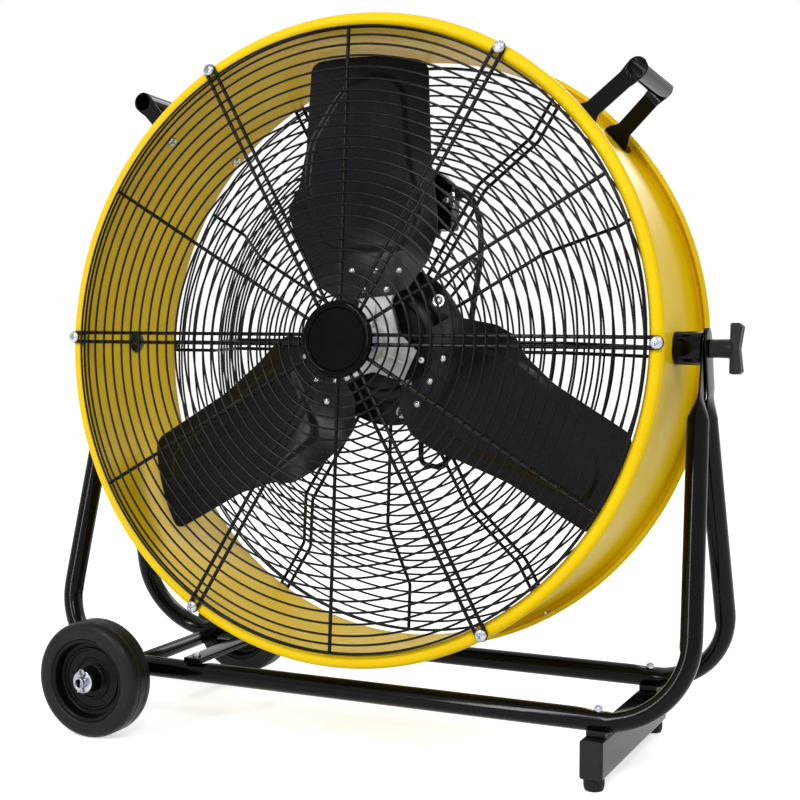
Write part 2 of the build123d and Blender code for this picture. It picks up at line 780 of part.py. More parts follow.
with BuildPart() as knob_insert_right:
    with BuildSketch(Plane.YZ.offset(knob_x)):
        Circle(insert_d / 2)
        Circle(pivot_d / 2 + turn_gap, mode=Mode.SUBTRACT)
    extrude(amount=insert_length)

with BuildPart() as knob_insert_left:
    mirror(knob_insert_right.part, about=Plane.YZ)

with BuildPart() as knob_right:
    bar_x = knob_x + knob_stem_length
    knob_end = bar_x + knob_bar_thickness
    with BuildSketch(Plane.YZ.offset(knob_x)):
        Circle(knob_stem_d / 2)
    extrude(amount=knob_stem_length)
    with BuildSketch(Plane.XZ):
        with BuildLine():
            Polyline(
                (knob_end - knob_chamfer, -knob_bar_half),
                (bar_x + knob_inner_chamfer, -knob_bar_half),
                (bar_x, knob_inner_chamfer - knob_bar_half),
                (bar_x, knob_bar_half - knob_inner_chamfer),
                (bar_x + knob_inner_chamfer, knob_bar_half),
                (knob_end - knob_chamfer, knob_bar_half),
                (knob_end, knob_bar_half - knob_chamfer),
                (knob_end - knob_dip, 0),
                (knob_end, knob_chamfer - knob_bar_half),
                close=True,
            )
        make_face()
    extrude(amount=knob_bar_width / 2, both=True)
    with BuildSketch(Plane.YZ.offset(knob_x)):
        Circle(insert_d / 2)
    extrude(amount=insert_length + turn_gap, mode=Mode.SUBTRACT)

with BuildPart() as knob_left:
    mirror(knob_right.part, about=Plane.YZ)

# ---- Motor ------------------------------------------------------------------------------------

bell_end = dish_front - plate_thickness  # rear edge of the front bell, against the plate
barrel_rear = motor_rear - bell_depth
pocket = bearing_width + hole_gap


def bell(face, inward, depth, hole_r):
    """Motor end bell: its flat face at y = face, open towards inward (1 is to the rear)."""
    with BuildSketch(Plane.XY) as profile:
        with BuildLine():
            Polyline(
                (hole_r, face),
                (motor_r, face),
                (motor_r, face + inward * depth),
                (motor_r - bell_wall, face + inward * depth),
                (motor_r - bell_wall, face + inward * bell_wall),
                (bearing_d / 2 + bell_wall, face + inward * bell_wall),
                (bearing_d / 2 + bell_wall, face + inward * (bell_wall + pocket)),
                (bearing_d / 2, face + inward * (bell_wall + pocket)),
                (bearing_d / 2, face + inward * bell_wall),
                (hole_r, face + inward * bell_wall),
                close=True,
            )
        make_face()
    revolve(profile.sketch, axis=Axis.Y)
    rim = face + inward * depth
    with BuildSketch(across(max(rim, rim - inward * bell_wall))) as ears:
        with PolarLocations(tie_circle, 4, start_angle=tie_angle):
            Circle(ear_r)
        Circle(motor_r - bell_wall, mode=Mode.SUBTRACT)
        with PolarLocations(tie_circle, 4, start_angle=tie_angle):
            Circle(tie_d / 2 + hole_gap, mode=Mode.SUBTRACT)
    extrude(ears.sketch, amount=bell_wall)


with BuildPart() as motor_front_bell:
    bell(motor_front, 1, bell_end - motor_front, shaft_d / 2 + shaft_hole_gap)

with BuildPart() as motor_rear_bell:
    bell(motor_rear, -1, bell_depth, shaft_d / 2 + shaft_hole_gap)

with BuildPart() as motor_barrel:
    with BuildSketch(across(barrel_rear)):
        Circle(motor_r)
        Circle(motor_r - motor_shell, mode=Mode.SUBTRACT)
    extrude(amount=barrel_rear - dish_front)
    with BuildSketch(Plane.YZ.offset(motor_r - 2 * motor_shell)):
        with Locations((lead_y, 0)):
            Circle(lead_d / 2)
    extrude(amount=gland_d, mode=Mode.SUBTRACT)

with BuildPart() as motor_plate:
    with BuildSketch(across(dish_front)):
        Circle(plate_r)
        Circle(plate_hole_r, mode=Mode.SUBTRACT)
        with PolarLocations(tie_circle, 4, start_angle=tie_angle):
            Circle(tie_d / 2 + hole_gap, mode=Mode.SUBTRACT)
        with PolarLocations(plate_screw_circle, 3, start_angle=plate_screw_angle):
            Circle(plate_screw_d / 2 + hole_gap, mode=Mode.SUBTRACT)
        with PolarLocations(plate_screw_circle, 3, start_angle=plate_spare_angle):
            Circle(plate_spare_hole_d / 2, mode=Mode.SUBTRACT)
    extrude(amount=plate_thickness)

with BuildPart() as motor_plate_screws:
    with BuildSketch(across(bell_end)):
        with PolarLocations(plate_screw_circle, 3, start_angle=plate_screw_angle):
            Circle(plate_washer_d / 2)
    extrude(amount=plate_washer)
    pan_screws(
        plate_screw_circle, 3, plate_screw_angle, bell_end - plate_washer,
        plate_washer + plate_thickness + wire + 3 * sheet,
        plate_screw_d, plate_screw_d * 1.9, plate_screw_d * 0.6, -1,
    )

with BuildPart() as motor_bolts:
    pan_screws(
        tie_circle, 4, tie_angle, bell_end - bell_wall, barrel_rear + 3 * bell_wall - bell_end,
        tie_d, tie_d * 1.9, tie_d * 0.6, -1,
    )
    with BuildSketch(across(barrel_rear + bell_wall + tie_d * 0.8)):
        with PolarLocations(tie_circle, 4, start_angle=tie_angle):
            RegularPolygon(tie_d * 0.8, 6, major_radius=False)
    extrude(amount=tie_d * 0.8)

with BuildPart() as stator_core:
    with BuildSketch(across(stack_front + stack_length)):
        Circle(motor_r - motor_shell)
        Circle(stator_bore_r, mode=Mode.SUBTRACT)
    extrude(amount=stack_length)

with BuildPart() as stator_windings:
    for front in (stack_front - coil_depth, stack_front + stack_length):
        with BuildSketch(across(front + coil_depth)):
            Circle(coil_outer)
            Circle(coil_inner, mode=Mode.SUBTRACT)
        extrude(amount=coil_depth)
    fillet(stator_windings.edges().filter_by(GeomType.CIRCLE), coil_depth / 4)


def bearing(front):
    """Ball bearing on the shaft, its front face at y = front."""
    with BuildSketch(across(front + bearing_width)) as races:
        Circle(bearing_d / 2)
        Circle(shaft_d / 2 + turn_gap, mode=Mode.SUBTRACT)
    extrude(races.sketch, amount=bearing_width)


with BuildPart() as motor_bearings:
    bearing(motor_front + bell_wall)
    bearing(motor_rear - bell_wall - bearing_width)

with BuildPart() as motor_shaft:
    disc(shaft_d / 2, spider_boss_front, motor_rear - bell_wall)
    disc(shaft_thread_d / 2, spider_boss_front - hub_nut_height - thread_tail, spider_boss_front)

with BuildPart() as rotor_core:
    with BuildSketch(across(stack_front + stack_length)):
        Circle(stator_bore_r - air_gap)
        Circle(shaft_d / 2, mode=Mode.SUBTRACT)
    extrude(amount=stack_length)

# ---- Blades and hub ---------------------------------------------------------------------------

with BuildPart() as blade_blank:
    for radius, pitch in blade_stations:
        chord = (cos(radians(pitch)), sin(radians(pitch)), 0)
        with BuildSketch(Plane(origin=(blade_axis_x, blade_y, radius), x_dir=chord, z_dir=(0, 0, 1))):
            Rectangle(blade_tip_r, blade_sheet)
    loft(ruled=True)
    with BuildSketch(Plane.XZ):
        with BuildLine():
            FilletPolyline(*blade_outline, radius=blade_corner_radii)
            Line(blade_outline[-1], blade_outline[0])
        make_face()
        Circle(blade_tip_r, mode=Mode.INTERSECT)
        fillet(vertices().sort_by(Axis.Y)[-2:], tip_corner_r)
        with Locations(*rivet_spots):
            Circle(rivet_d / 2, mode=Mode.SUBTRACT)
    extrude(amount=drum_front, both=True, mode=Mode.INTERSECT)

with BuildPart() as blade_1:
    add(blade_blank.part)

with BuildPart() as blade_2:
    add(blade_blank.part, rotation=(0, -120, 0))

with BuildPart() as blade_3:
    add(blade_blank.part, rotation=(0, 120, 0))

with BuildPart() as lobe:
    with BuildSketch(across(blade_back + spider_thickness)):
        Polygon(
            (-lobe_inner / 2, 0),
            (-lobe_inner / 2, lobe_waist),
            (-lobe_outer / 2, rivet_spots[0][1] - rivet_d),
            (-lobe_outer / 2, lobe_end),
            (lobe_outer / 2, lobe_end),
            (lobe_outer / 2, rivet_spots[0][1] - rivet_d),
            (lobe_inner / 2, lobe_waist),
            (lobe_inner / 2, 0),
            align=None,
        )
        with Locations(*rivet_spots):
            Circle(rivet_d / 2, mode=Mode.SUBTRACT)
    extrude(amount=spider_thickness)

with BuildPart() as hub_spider:
    for k in range(3):
        add(lobe.part, rotation=(0, 120 * k, 0))
    disc(spider_core_r, blade_back, blade_back + spider_thickness)
    disc(spider_boss_r, spider_boss_front, spider_boss_rear)
    disc(shaft_d / 2, spider_boss_front, spider_boss_rear, mode=Mode.SUBTRACT)

with BuildPart() as rivet_set:
    spider_back = blade_back + spider_thickness
    with BuildSketch(across(spider_back)):
        with Locations(*rivet_spots):
            Circle(rivet_d / 2)
    extrude(amount=spider_thickness + blade_sheet)
    with BuildSketch(across(blade_back - blade_sheet)):
        with Locations(*rivet_spots):
            Circle(rivet_head_d / 2)
    extrude(amount=rivet_head, taper=25)
    with BuildSketch(across(spider_back)):
        with Locations(*rivet_spots):
            Circle(rivet_head_d / 2)
    extrude(amount=-rivet_head, taper=25)

with BuildPart() as blade_rivets:
    for k in range(3):
        add(rivet_set.part, rotation=(0, 120 * k, 0))

with BuildPart() as hub_nut:
    with BuildSketch(across(spider_boss_front)):
        RegularPolygon(hub_nut_width / 2, 6, major_radius=False)
        Circle(shaft_thread_d / 2, mode=Mode.SUBTRACT)
    extrude(amount=hub_nut_height)

# ---- Switch box, lead and cord hook -----------------------------------------------------------


def box_outline(inset):
    """Outline of the switch box, drawn in by inset, with its slanted upper right corner."""
    Polygon(
        (box_left + inset, box_bottom + inset),
        (box_right - inset, box_bottom + inset),
        (box_right - inset, box_top - box_corner),
        (box_right - box_corner, box_top - inset),
        (box_left + inset, box_top - inset),
        align=None,
    )


with BuildPart() as box_bracket:
    with BuildSketch(across(box_front)):
        box_outline(0)
        with Locations(bracket_screw):
            Circle(bracket_screw_d / 2 + hole_gap, mode=Mode.SUBTRACT)
    extrude(amount=bracket_thickness)

with BuildPart() as switch_box:
    with BuildSketch(across(box_rear)):
        box_outline(0)
    extrude(amount=box_depth)
    with BuildSketch(across(box_rear)):
        box_outline(box_wall)
    extrude(amount=box_depth - box_wall, mode=Mode.SUBTRACT)
    with BuildSketch(across(box_rear)):
        with Locations(bracket_screw):
            Circle(bracket_screw_d / 2 + hole_gap)
    extrude(amount=box_depth, mode=Mode.SUBTRACT)
    with BuildSketch(Plane.YZ.offset(box_right - box_wall)):
        with Locations((lead_y, lead_exit)):
            Circle(lead_d / 2)
    extrude(amount=box_wall, mode=Mode.SUBTRACT)
    with BuildSketch(Plane.XY.offset(box_bottom)):
        with Locations((box_middle[0], lead_y)):
            Circle(lead_d / 2)
    extrude(amount=box_wall, mode=Mode.SUBTRACT)

lid_spots = (
    (box_left + 3 * box_wall, box_bottom + 3 * box_wall),
    (box_right - 3 * box_wall, box_bottom + 3 * box_wall),
    (box_left + 3 * box_wall, box_top - 3 * box_wall),
)

with BuildPart() as switch_box_lid:
    with BuildSketch(across(box_rear + box_lid)):
        box_outline(0)
        with Locations(*lid_spots):
            Circle(bracket_screw_d / 2 + hole_gap, mode=Mode.SUBTRACT)
    extrude(amount=box_lid)
    with BuildSketch(across(box_rear + box_lid + spindle_length)):
        with Locations(box_middle):
            Circle(spindle_d / 2)
    extrude(amount=spindle_length)

with BuildPart() as switch_box_screws:
    with BuildSketch(across(box_rear + box_lid)):
        with Locations(*lid_spots):
            Circle(bracket_screw_d)
    extrude(amount=-bracket_screw_d / 2)
    with BuildSketch(across(box_rear + box_lid)):
        with Locations(*lid_spots):
            Circle(bracket_screw_d / 2)
    extrude(amount=box_lid + 2 * bracket_screw_d)
    clamp_back = box_front - bracket_thickness
    with BuildSketch(across(clamp_back)):
        with Locations((box_right + 2 * box_wall - clamp_plate[0] / 2, bracket_screw[1])):
            Rectangle(clamp_plate[0], clamp_plate[1])
    extrude(amount=clamp_plate[2])
    with BuildSketch(across(clamp_back - clamp_plate[2])):
        with Locations(bracket_screw):
            Circle(bracket_screw_d * 0.9)
    extrude(amount=bracket_screw_d / 2)
    with BuildSketch(across(clamp_back)):
        with Locations(bracket_screw):
            Circle(bracket_screw_d / 2)
    extrude(amount=-bracket_thickness - 2 * box_wall)

with BuildPart() as capacitor:
    capacitor_inset = capacitor_d / 2 + turn_gap
    with BuildSketch(Plane.XY.offset(box_middle[1] - capacitor_length / 2)):
        with Locations((box_left + box_wall + capacitor_inset, box_rear - capacitor_inset)):
            Circle(capacitor_d / 2)
    extrude(amount=capacitor_length)

with BuildPart() as switch_knob:
    knob_front = box_rear + box_lid + turn_gap
    with BuildSketch(across(knob_front + switch_knob_height / 2)):
        with Locations(box_middle):
            Circle(switch_knob_d / 2)
    extrude(amount=switch_knob_height / 2)
    with BuildSketch(across(knob_front + switch_knob_height)):
        with Locations(box_middle):
            SlotOverall(switch_knob_d - turn_gap, switch_knob_grip, rotation=90)
    extrude(amount=switch_knob_height / 2)
    with BuildSketch(across(knob_front + spindle_length)):
        with Locations(box_middle):
            Circle(spindle_d / 2 + turn_gap)
    extrude(amount=spindle_length, mode=Mode.SUBTRACT)

# The lead leaves the right side of the switch box and enters the right side of the motor.
lead_route = [
    (box_right + gland_length, lead_exit),
    (76, lead_exit),
    (87.5, 150),
    (92, 127),
    (93.3, 105),
    (91, 80),
    (86.5, 50),
    (84, 28),
    (84, 10),
    (78, 0),
    (motor_r + gland_length, 0),
]


def corner_radii(points):
    """Arc for each corner of a route, as large as its two runs allow."""
    radii = []
    for before, here, after in zip(points, points[1:], points[2:]):
        arrive = Vector(*here) - Vector(*before)
        leave = Vector(*after) - Vector(*here)
        half_turn = radians(arrive.get_angle(leave) / 2)
        radii.append(0.45 * min(arrive.length, leave.length) / tan(half_turn))
    return radii


with BuildPart() as motor_lead:
    with BuildLine(Plane.XZ.offset(-lead_y)) as lead_line:
        FilletPolyline(*lead_route, radius=corner_radii(lead_route))
    with BuildSketch(Plane.YZ.offset(lead_route[0][0])):
        with Locations((lead_y, lead_route[0][1])):
            Circle(lead_d / 2)
    sweep(path=lead_line.line)

print("lead radii", [round(radius, 1) for radius in corner_radii(lead_route)])
lead_length = sum(edge.length for edge in lead_line.edges())
lead_section = radians(180) * lead_d**2 / 4
print("lead volume", round(motor_lead.part.volume), "by length", round(lead_section * lead_length))

with BuildPart() as cable_glands:
    for start, height, sink in ((box_right, lead_exit, 0.0), (motor_r, 0.0, gland_sink)):
        with BuildSketch(Plane.YZ.offset(start - sink)):
            with Locations((lead_y, height)):
                Circle(gland_d / 2)
        extrude(amount=gland_length + sink)
    with BuildSketch(Plane.XY.offset(box_bottom)):
        with Locations((box_middle[0], lead_y)):
            Circle(gland_d / 2)
            Circle(lead_d / 2, mode=Mode.SUBTRACT)
    extrude(amount=-gland_length)
    with BuildSketch(across(motor_rear)):
        Circle(motor_r)
    extrude(amount=motor_rear - motor_front, mode=Mode.SUBTRACT)

# A loop of rod, held under a screw of the motor's plate, carries the clip.
with BuildPart() as lead_clip:
    loop_foot = Vector(plate_screw_circle, 0).rotate(Axis.Z, plate_screw_angle)
    loop_middle = loop_foot + Vector(clip_loop_reach / 2, 0).rotate(Axis.Z, clip_loop_angle)
    with BuildSketch(across(dish_back - weld_sink - hole_gap)):
        with Locations((loop_middle.X, loop_middle.Y)):
            SlotCenterToCenter(clip_loop_reach, clip_loop_gap + clip_rod, rotation=clip_loop_angle)
            SlotCenterToCenter(
                clip_loop_reach, clip_loop_gap - clip_rod, rotation=clip_loop_angle, mode=Mode.SUBTRACT
            )
    extrude(amount=clip_rod)
    post = lead_y - dish_front - wire / 2
    with BuildSketch(Plane.XY.offset(clip_spot[1] - clip_length / 2)):
        with Locations((clip_spot[0], lead_y)):
            Circle(lead_d / 2 + clip_wall)
        with Locations((clip_spot[0], lead_y - post / 2)):
            Rectangle(clip_rod, post)
    extrude(amount=clip_length)
    add(motor_lead.part, mode=Mode.SUBTRACT)
    add(rear_guard.part, mode=Mode.SUBTRACT)

with BuildPart() as cord_hook:
    with BuildLine(Plane.XZ.offset(-dish_back - ring_wire - hook_d / 2)) as hook_line:
        FilletPolyline(*hook_points, radius=1.5 * hook_d)
    with BuildSketch(Plane(origin=hook_line.line @ 0, z_dir=hook_line.line % 0)):
        Circle(hook_d / 2)
    sweep(path=hook_line.line)

# ---- Write the pieces -------------------------------------------------------------------------

standing_pieces = {
    "front_frame_tube": front_frame_tube,
    "rear_frame_tube": rear_frame_tube,
    "foot_bar": foot_bar,
    "foot_bar_saddles": foot_bar_saddles,
    "foot_bar_plugs": foot_bar_plugs,
    "rubber_feet": rubber_feet,
    "foot_bolts": foot_bolts,
    "cross_strap": cross_strap,
    "strap_bolts": strap_bolts,
    "wheel_axle": wheel_axle,
    "axle_sleeves": axle_sleeves,
    "axle_washers": axle_washers,
    "split_pins": split_pins,
    "front_tyre": front_tyre,
    "front_wheel_hub": front_wheel_hub,
    "rear_tyre": rear_tyre,
    "rear_wheel_hub": rear_wheel_hub,
}

tilting_pieces = {
    "drum_shell": drum_shell,
    "front_guard": front_guard,
    "rear_guard": rear_guard,
    "guard_screws": guard_screws,
    "badge_cup": badge_cup,
    "badge_disc": badge_disc,
    "handle_right": handle_right,
    "handle_left": handle_left,
    "handle_screws": handle_screws,
    "pivot_bosses": pivot_bosses,
    "pivot_bolt_right": pivot_bolt_right,
    "pivot_bolt_left": pivot_bolt_left,
    "knob_right": knob_right,
    "knob_left": knob_left,
    "knob_insert_right": knob_insert_right,
    "knob_insert_left": knob_insert_left,
    "motor_front_bell": motor_front_bell,
    "motor_rear_bell": motor_rear_bell,
    "motor_barrel": motor_barrel,
    "motor_plate": motor_plate,
    "motor_plate_screws": motor_plate_screws,
    "motor_bolts": motor_bolts,
    "stator_core": stator_core,
    "stator_windings": stator_windings,
    "motor_bearings": motor_bearings,
    "motor_shaft": motor_shaft,
    "rotor_core": rotor_core,
    "blade_1": blade_1,
    "blade_2": blade_2,
    "blade_3": blade_3,
    "hub_spider": hub_spider,
    "blade_rivets": blade_rivets,
    "hub_nut": hub_nut,
    "box_bracket": box_bracket,
    "switch_box": switch_box,
    "switch_box_lid": switch_box_lid,
    "switch_box_screws": switch_box_screws,
    "capacitor": capacitor,
    "switch_knob": switch_knob,
    "motor_lead": motor_lead,
    "cable_glands": cable_glands,
    "lead_clip": lead_clip,
    "cord_hook": cord_hook,
}

os.makedirs("parts", exist_ok=True)

for name, piece in standing_pieces.items():
    piece.part.label = name
    export_step(piece.part, f"parts/{name}.step")

for name, piece in tilting_pieces.items():
    placed = piece.part.moved(drum_place)
    placed.label = name
    export_step(placed, f"parts/{name}.step")
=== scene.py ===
"""Drum fan on wheels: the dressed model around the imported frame.

Shapes are drawn in millimetres. Those of the drum and all it carries are drawn square to the
pivot, with the fan axis along Y (rear is +Y) and the pivot at the origin, and placed by DRUM.
The bodies ON_FLOOR are drawn where they stand.
"""

import json
from collections import Counter
from math import asin, atan2, cos, degrees, exp, hypot, pi, radians, sin, sqrt, tan

import bmesh
import bpy
import numpy as np
from mathutils import Matrix, Vector
from mathutils.geometry import delaunay_2d_cdt


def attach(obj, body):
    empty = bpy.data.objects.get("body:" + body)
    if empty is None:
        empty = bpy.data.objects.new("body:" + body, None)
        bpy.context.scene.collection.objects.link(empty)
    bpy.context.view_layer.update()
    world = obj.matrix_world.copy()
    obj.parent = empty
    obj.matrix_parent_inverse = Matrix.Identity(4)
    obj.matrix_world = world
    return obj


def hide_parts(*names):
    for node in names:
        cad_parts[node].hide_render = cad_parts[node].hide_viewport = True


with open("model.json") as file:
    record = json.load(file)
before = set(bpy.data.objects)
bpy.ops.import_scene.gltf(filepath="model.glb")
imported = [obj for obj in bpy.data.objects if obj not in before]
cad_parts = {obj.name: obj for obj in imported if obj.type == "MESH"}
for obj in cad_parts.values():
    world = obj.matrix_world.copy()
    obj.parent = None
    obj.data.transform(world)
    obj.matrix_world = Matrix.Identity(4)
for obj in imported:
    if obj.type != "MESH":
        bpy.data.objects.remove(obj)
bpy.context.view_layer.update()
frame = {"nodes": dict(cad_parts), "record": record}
scene = bpy.context.scene

MM = 0.001
PIVOT_HEIGHT = 420.0
REST_TILT = 4.2
ON_FLOOR = ("stand", "front_wheel", "rear_wheel")
DRUM = Matrix.Translation((0, 0, PIVOT_HEIGHT * MM)) @ Matrix.Rotation(radians(-REST_TILT), 4, "X")

# ---- Camera, light and stage ----

camera = bpy.data.objects.new("camera", bpy.data.cameras.new("camera"))
scene.collection.objects.link(camera)
scene.camera = camera
camera.data.lens = 66.02
camera.location = (0.68385, -1.43417, 0.4591)
camera_target = Vector((0.0206, 0.0, 0.3606))
camera.rotation_euler = (camera_target - camera.location).to_track_quat("-Z", "Y").to_euler()

scene.view_settings.view_transform = "Standard"


def softbox(name, place, aim, width, height, power):
    """Studio light at place, turned to aim."""
    lamp = bpy.data.lights.new(name, "AREA")
    lamp.shape = "RECTANGLE"
    lamp.size, lamp.size_y = width, height
    lamp.energy = power
    holder = bpy.data.objects.new(name, lamp)
    scene.collection.objects.link(holder)
    holder.location = place
    holder.rotation_euler = (Vector(aim) - Vector(place)).to_track_quat("-Z", "Y").to_euler()


softbox("key_light", (1.5, -2.2, 2.3), (0, 0, 0.4), 0.8, 0.8, 27)
softbox("strip_light", (-0.6, -2.0, 1.3), (0.1, 0, 0.4), 0.2, 1.4, 24)
softbox("back_light", (0.4, 2.4, 1.8), (0, 0, 0.45), 1.2, 1.2, 26)


def fill(tree, node, inputs):
    """The node, with each input set to a value or linked to a socket."""
    for key, value in inputs.items():
        if isinstance(value, bpy.types.NodeSocket):
            tree.links.new(value, node.inputs[key])
        else:
            node.inputs[key].default_value = value
    return node


def added(tree, kind, inputs, operation=None):
    """New shader node with its inputs filled."""
    node = tree.nodes.new("ShaderNode" + kind)
    if operation:
        node.operation = operation
    return fill(tree, node, inputs)


def camera_share(tree):
    """Socket that is 1 for rays that show the background: camera, glossy and transmission."""
    rays = tree.nodes.new("ShaderNodeLightPath").outputs
    total = rays["Is Camera Ray"]
    for other in ("Is Glossy Ray", "Is Transmission Ray"):
        total = added(tree, "Math", {0: total, 1: rays[other]}, "MAXIMUM").outputs[0]
    return total


world = bpy.data.worlds.new("studio")
scene.world = world
world.use_nodes = True
sky_tree = world.node_tree
sky_tree.nodes.clear()
ambient = added(sky_tree, "Background", {"Color": (1, 1, 1, 1), "Strength": 0.55})
seen = added(sky_tree, "Background", {"Color": (1, 1, 1, 1), "Strength": 1.0})
sky_inputs = {0: camera_share(sky_tree), 1: ambient.outputs[0], 2: seen.outputs[0]}
sky = added(sky_tree, "MixShader", sky_inputs)
added(sky_tree, "OutputWorld", {"Surface": sky.outputs[0]})

FLOOR_REACH, FLOOR_GLOW = 60.0, 0.62
floor_mesh = bpy.data.meshes.new("floor")
floor_signs = ((-1, -1), (1, -1), (1, 1), (-1, 1))
floor_mesh.from_pydata([(x * FLOOR_REACH, y * FLOOR_REACH, 0) for x, y in floor_signs], [], [(0, 1, 2, 3)])
floor = bpy.data.objects.new("floor", floor_mesh)
scene.collection.objects.link(floor)
floor_paint = bpy.data.materials.new("floor")
floor_paint.use_nodes = True
floor_tree = floor_paint.node_tree
floor_tree.nodes.clear()
floor_gain = added(floor_tree, "Math", {0: camera_share(floor_tree), 1: FLOOR_GLOW}, "MULTIPLY")
floor_diffuse = added(floor_tree, "BsdfDiffuse", {"Color": (0.82, 0.82, 0.82, 1)})
floor_glow = added(floor_tree, "Emission", {"Strength": floor_gain.outputs[0]})
floor_sum = added(floor_tree, "AddShader", {0: floor_diffuse.outputs[0], 1: floor_glow.outputs[0]})
added(floor_tree, "OutputMaterial", {"Surface": floor_sum.outputs[0]})
floor_mesh.materials.append(floor_paint)

# ---- Materials ----


def linear(code):
    """Linear colour of a six-digit sRGB code."""
    parts = [int(code[i : i + 2], 16) / 255 for i in (0, 2, 4)]
    return [p / 12.92 if p <= 0.04045 else ((p + 0.055) / 1.055) ** 2.4 for p in parts] + [1.0]


def noise(tree, scale, detail=3.0):
    """Noise in object space, scale features to the metre."""
    place = tree.nodes.new("ShaderNodeTexCoord").outputs["Object"]
    return added(tree, "TexNoise", {"Scale": scale, "Detail": detail, "Vector": place}).outputs["Fac"]


def spread(tree, source, low, high, start=0.35, end=0.65):
    """source between start and end, mapped to low to high."""
    ramp = tree.nodes.new("ShaderNodeMapRange")
    ramp.interpolation_type = "SMOOTHSTEP"
    inputs = {"Value": source, "From Min": start, "From Max": end, "To Min": low, "To Max": high}
    return fill(tree, ramp, inputs).outputs["Result"]


def blend_colour(tree, share, first, second):
    """Mix of two colours, or sockets, by share."""
    mix = tree.nodes.new("ShaderNodeMix")
    mix.data_type = "RGBA"
    return fill(tree, mix, {"Factor": share, "A": first, "B": second}).outputs["Result"]


def rounded_normal(tree, radius):
    """Normal that rounds corners by radius in millimetres."""
    bevel = added(tree, "Bevel", {"Radius": radius * MM})
    bevel.samples = 4
    return bevel.outputs[0]


def finish(name, tints, rough, cloud, grain, metallic=0.0, edge=0.0, edge_rub_and_highlight=None, specular=0.5, dust=None):
    """Procedural material.

    The colour wanders between two tints and the roughness between two values. grain lists pairs
    of noise scale to the metre and height in millimetres. edge rounds corners by that radius in
    millimetres, and wear is the colour and width of a lighter band along them that is partly real
    rub and partly a painted edge highlight. dust is the colour and share of fine specks.
    """
    material = bpy.data.materials.new(name)
    material.use_nodes = True
    tree = material.node_tree
    colour = blend_colour(tree, spread(tree, noise(tree, cloud), 0, 1), linear(tints[0]), linear(tints[1]))
    if dust:
        specks = spread(tree, noise(tree, 900, 2), 0, dust[1], 0.60, 0.72)
        colour = blend_colour(tree, specks, colour, linear(dust[0]))
    # Lighter band in patches along the corners: partly rubbed paint, partly a painted edge highlight.
    if edge_rub_and_highlight:
        flat = tree.nodes.new("ShaderNodeNewGeometry").outputs["Normal"]
        dot = added(tree, "VectorMath", {0: rounded_normal(tree, edge_rub_and_highlight[1]), 1: flat}, "DOT_PRODUCT")
        edges = spread(tree, dot.outputs["Value"], 1, 0, 0.80, 0.985)
        patches = spread(tree, noise(tree, 160, 4), 0, 1, 0.45, 0.7)
        rub_and_highlight_share = added(tree, "Math", {0: edges, 1: patches}, "MULTIPLY").outputs[0]
        colour = blend_colour(tree, rub_and_highlight_share, colour, linear(edge_rub_and_highlight[0]))
    gloss = spread(tree, noise(tree, cloud * 5, 4), *rough)
    normal = {"Normal": rounded_normal(tree, edge)} if edge else {}
    for scale, height in grain:
        bump = {"Distance": height * MM, "Height": noise(tree, scale, 2)} | normal
        normal = {"Normal": added(tree, "Bump", bump).outputs[0]}
    looks = {"Base Color": colour, "Roughness": gloss, "Metallic": metallic, "Specular IOR Level": specular}
    fill(tree, tree.nodes["Principled BSDF"], looks | normal)
    return material


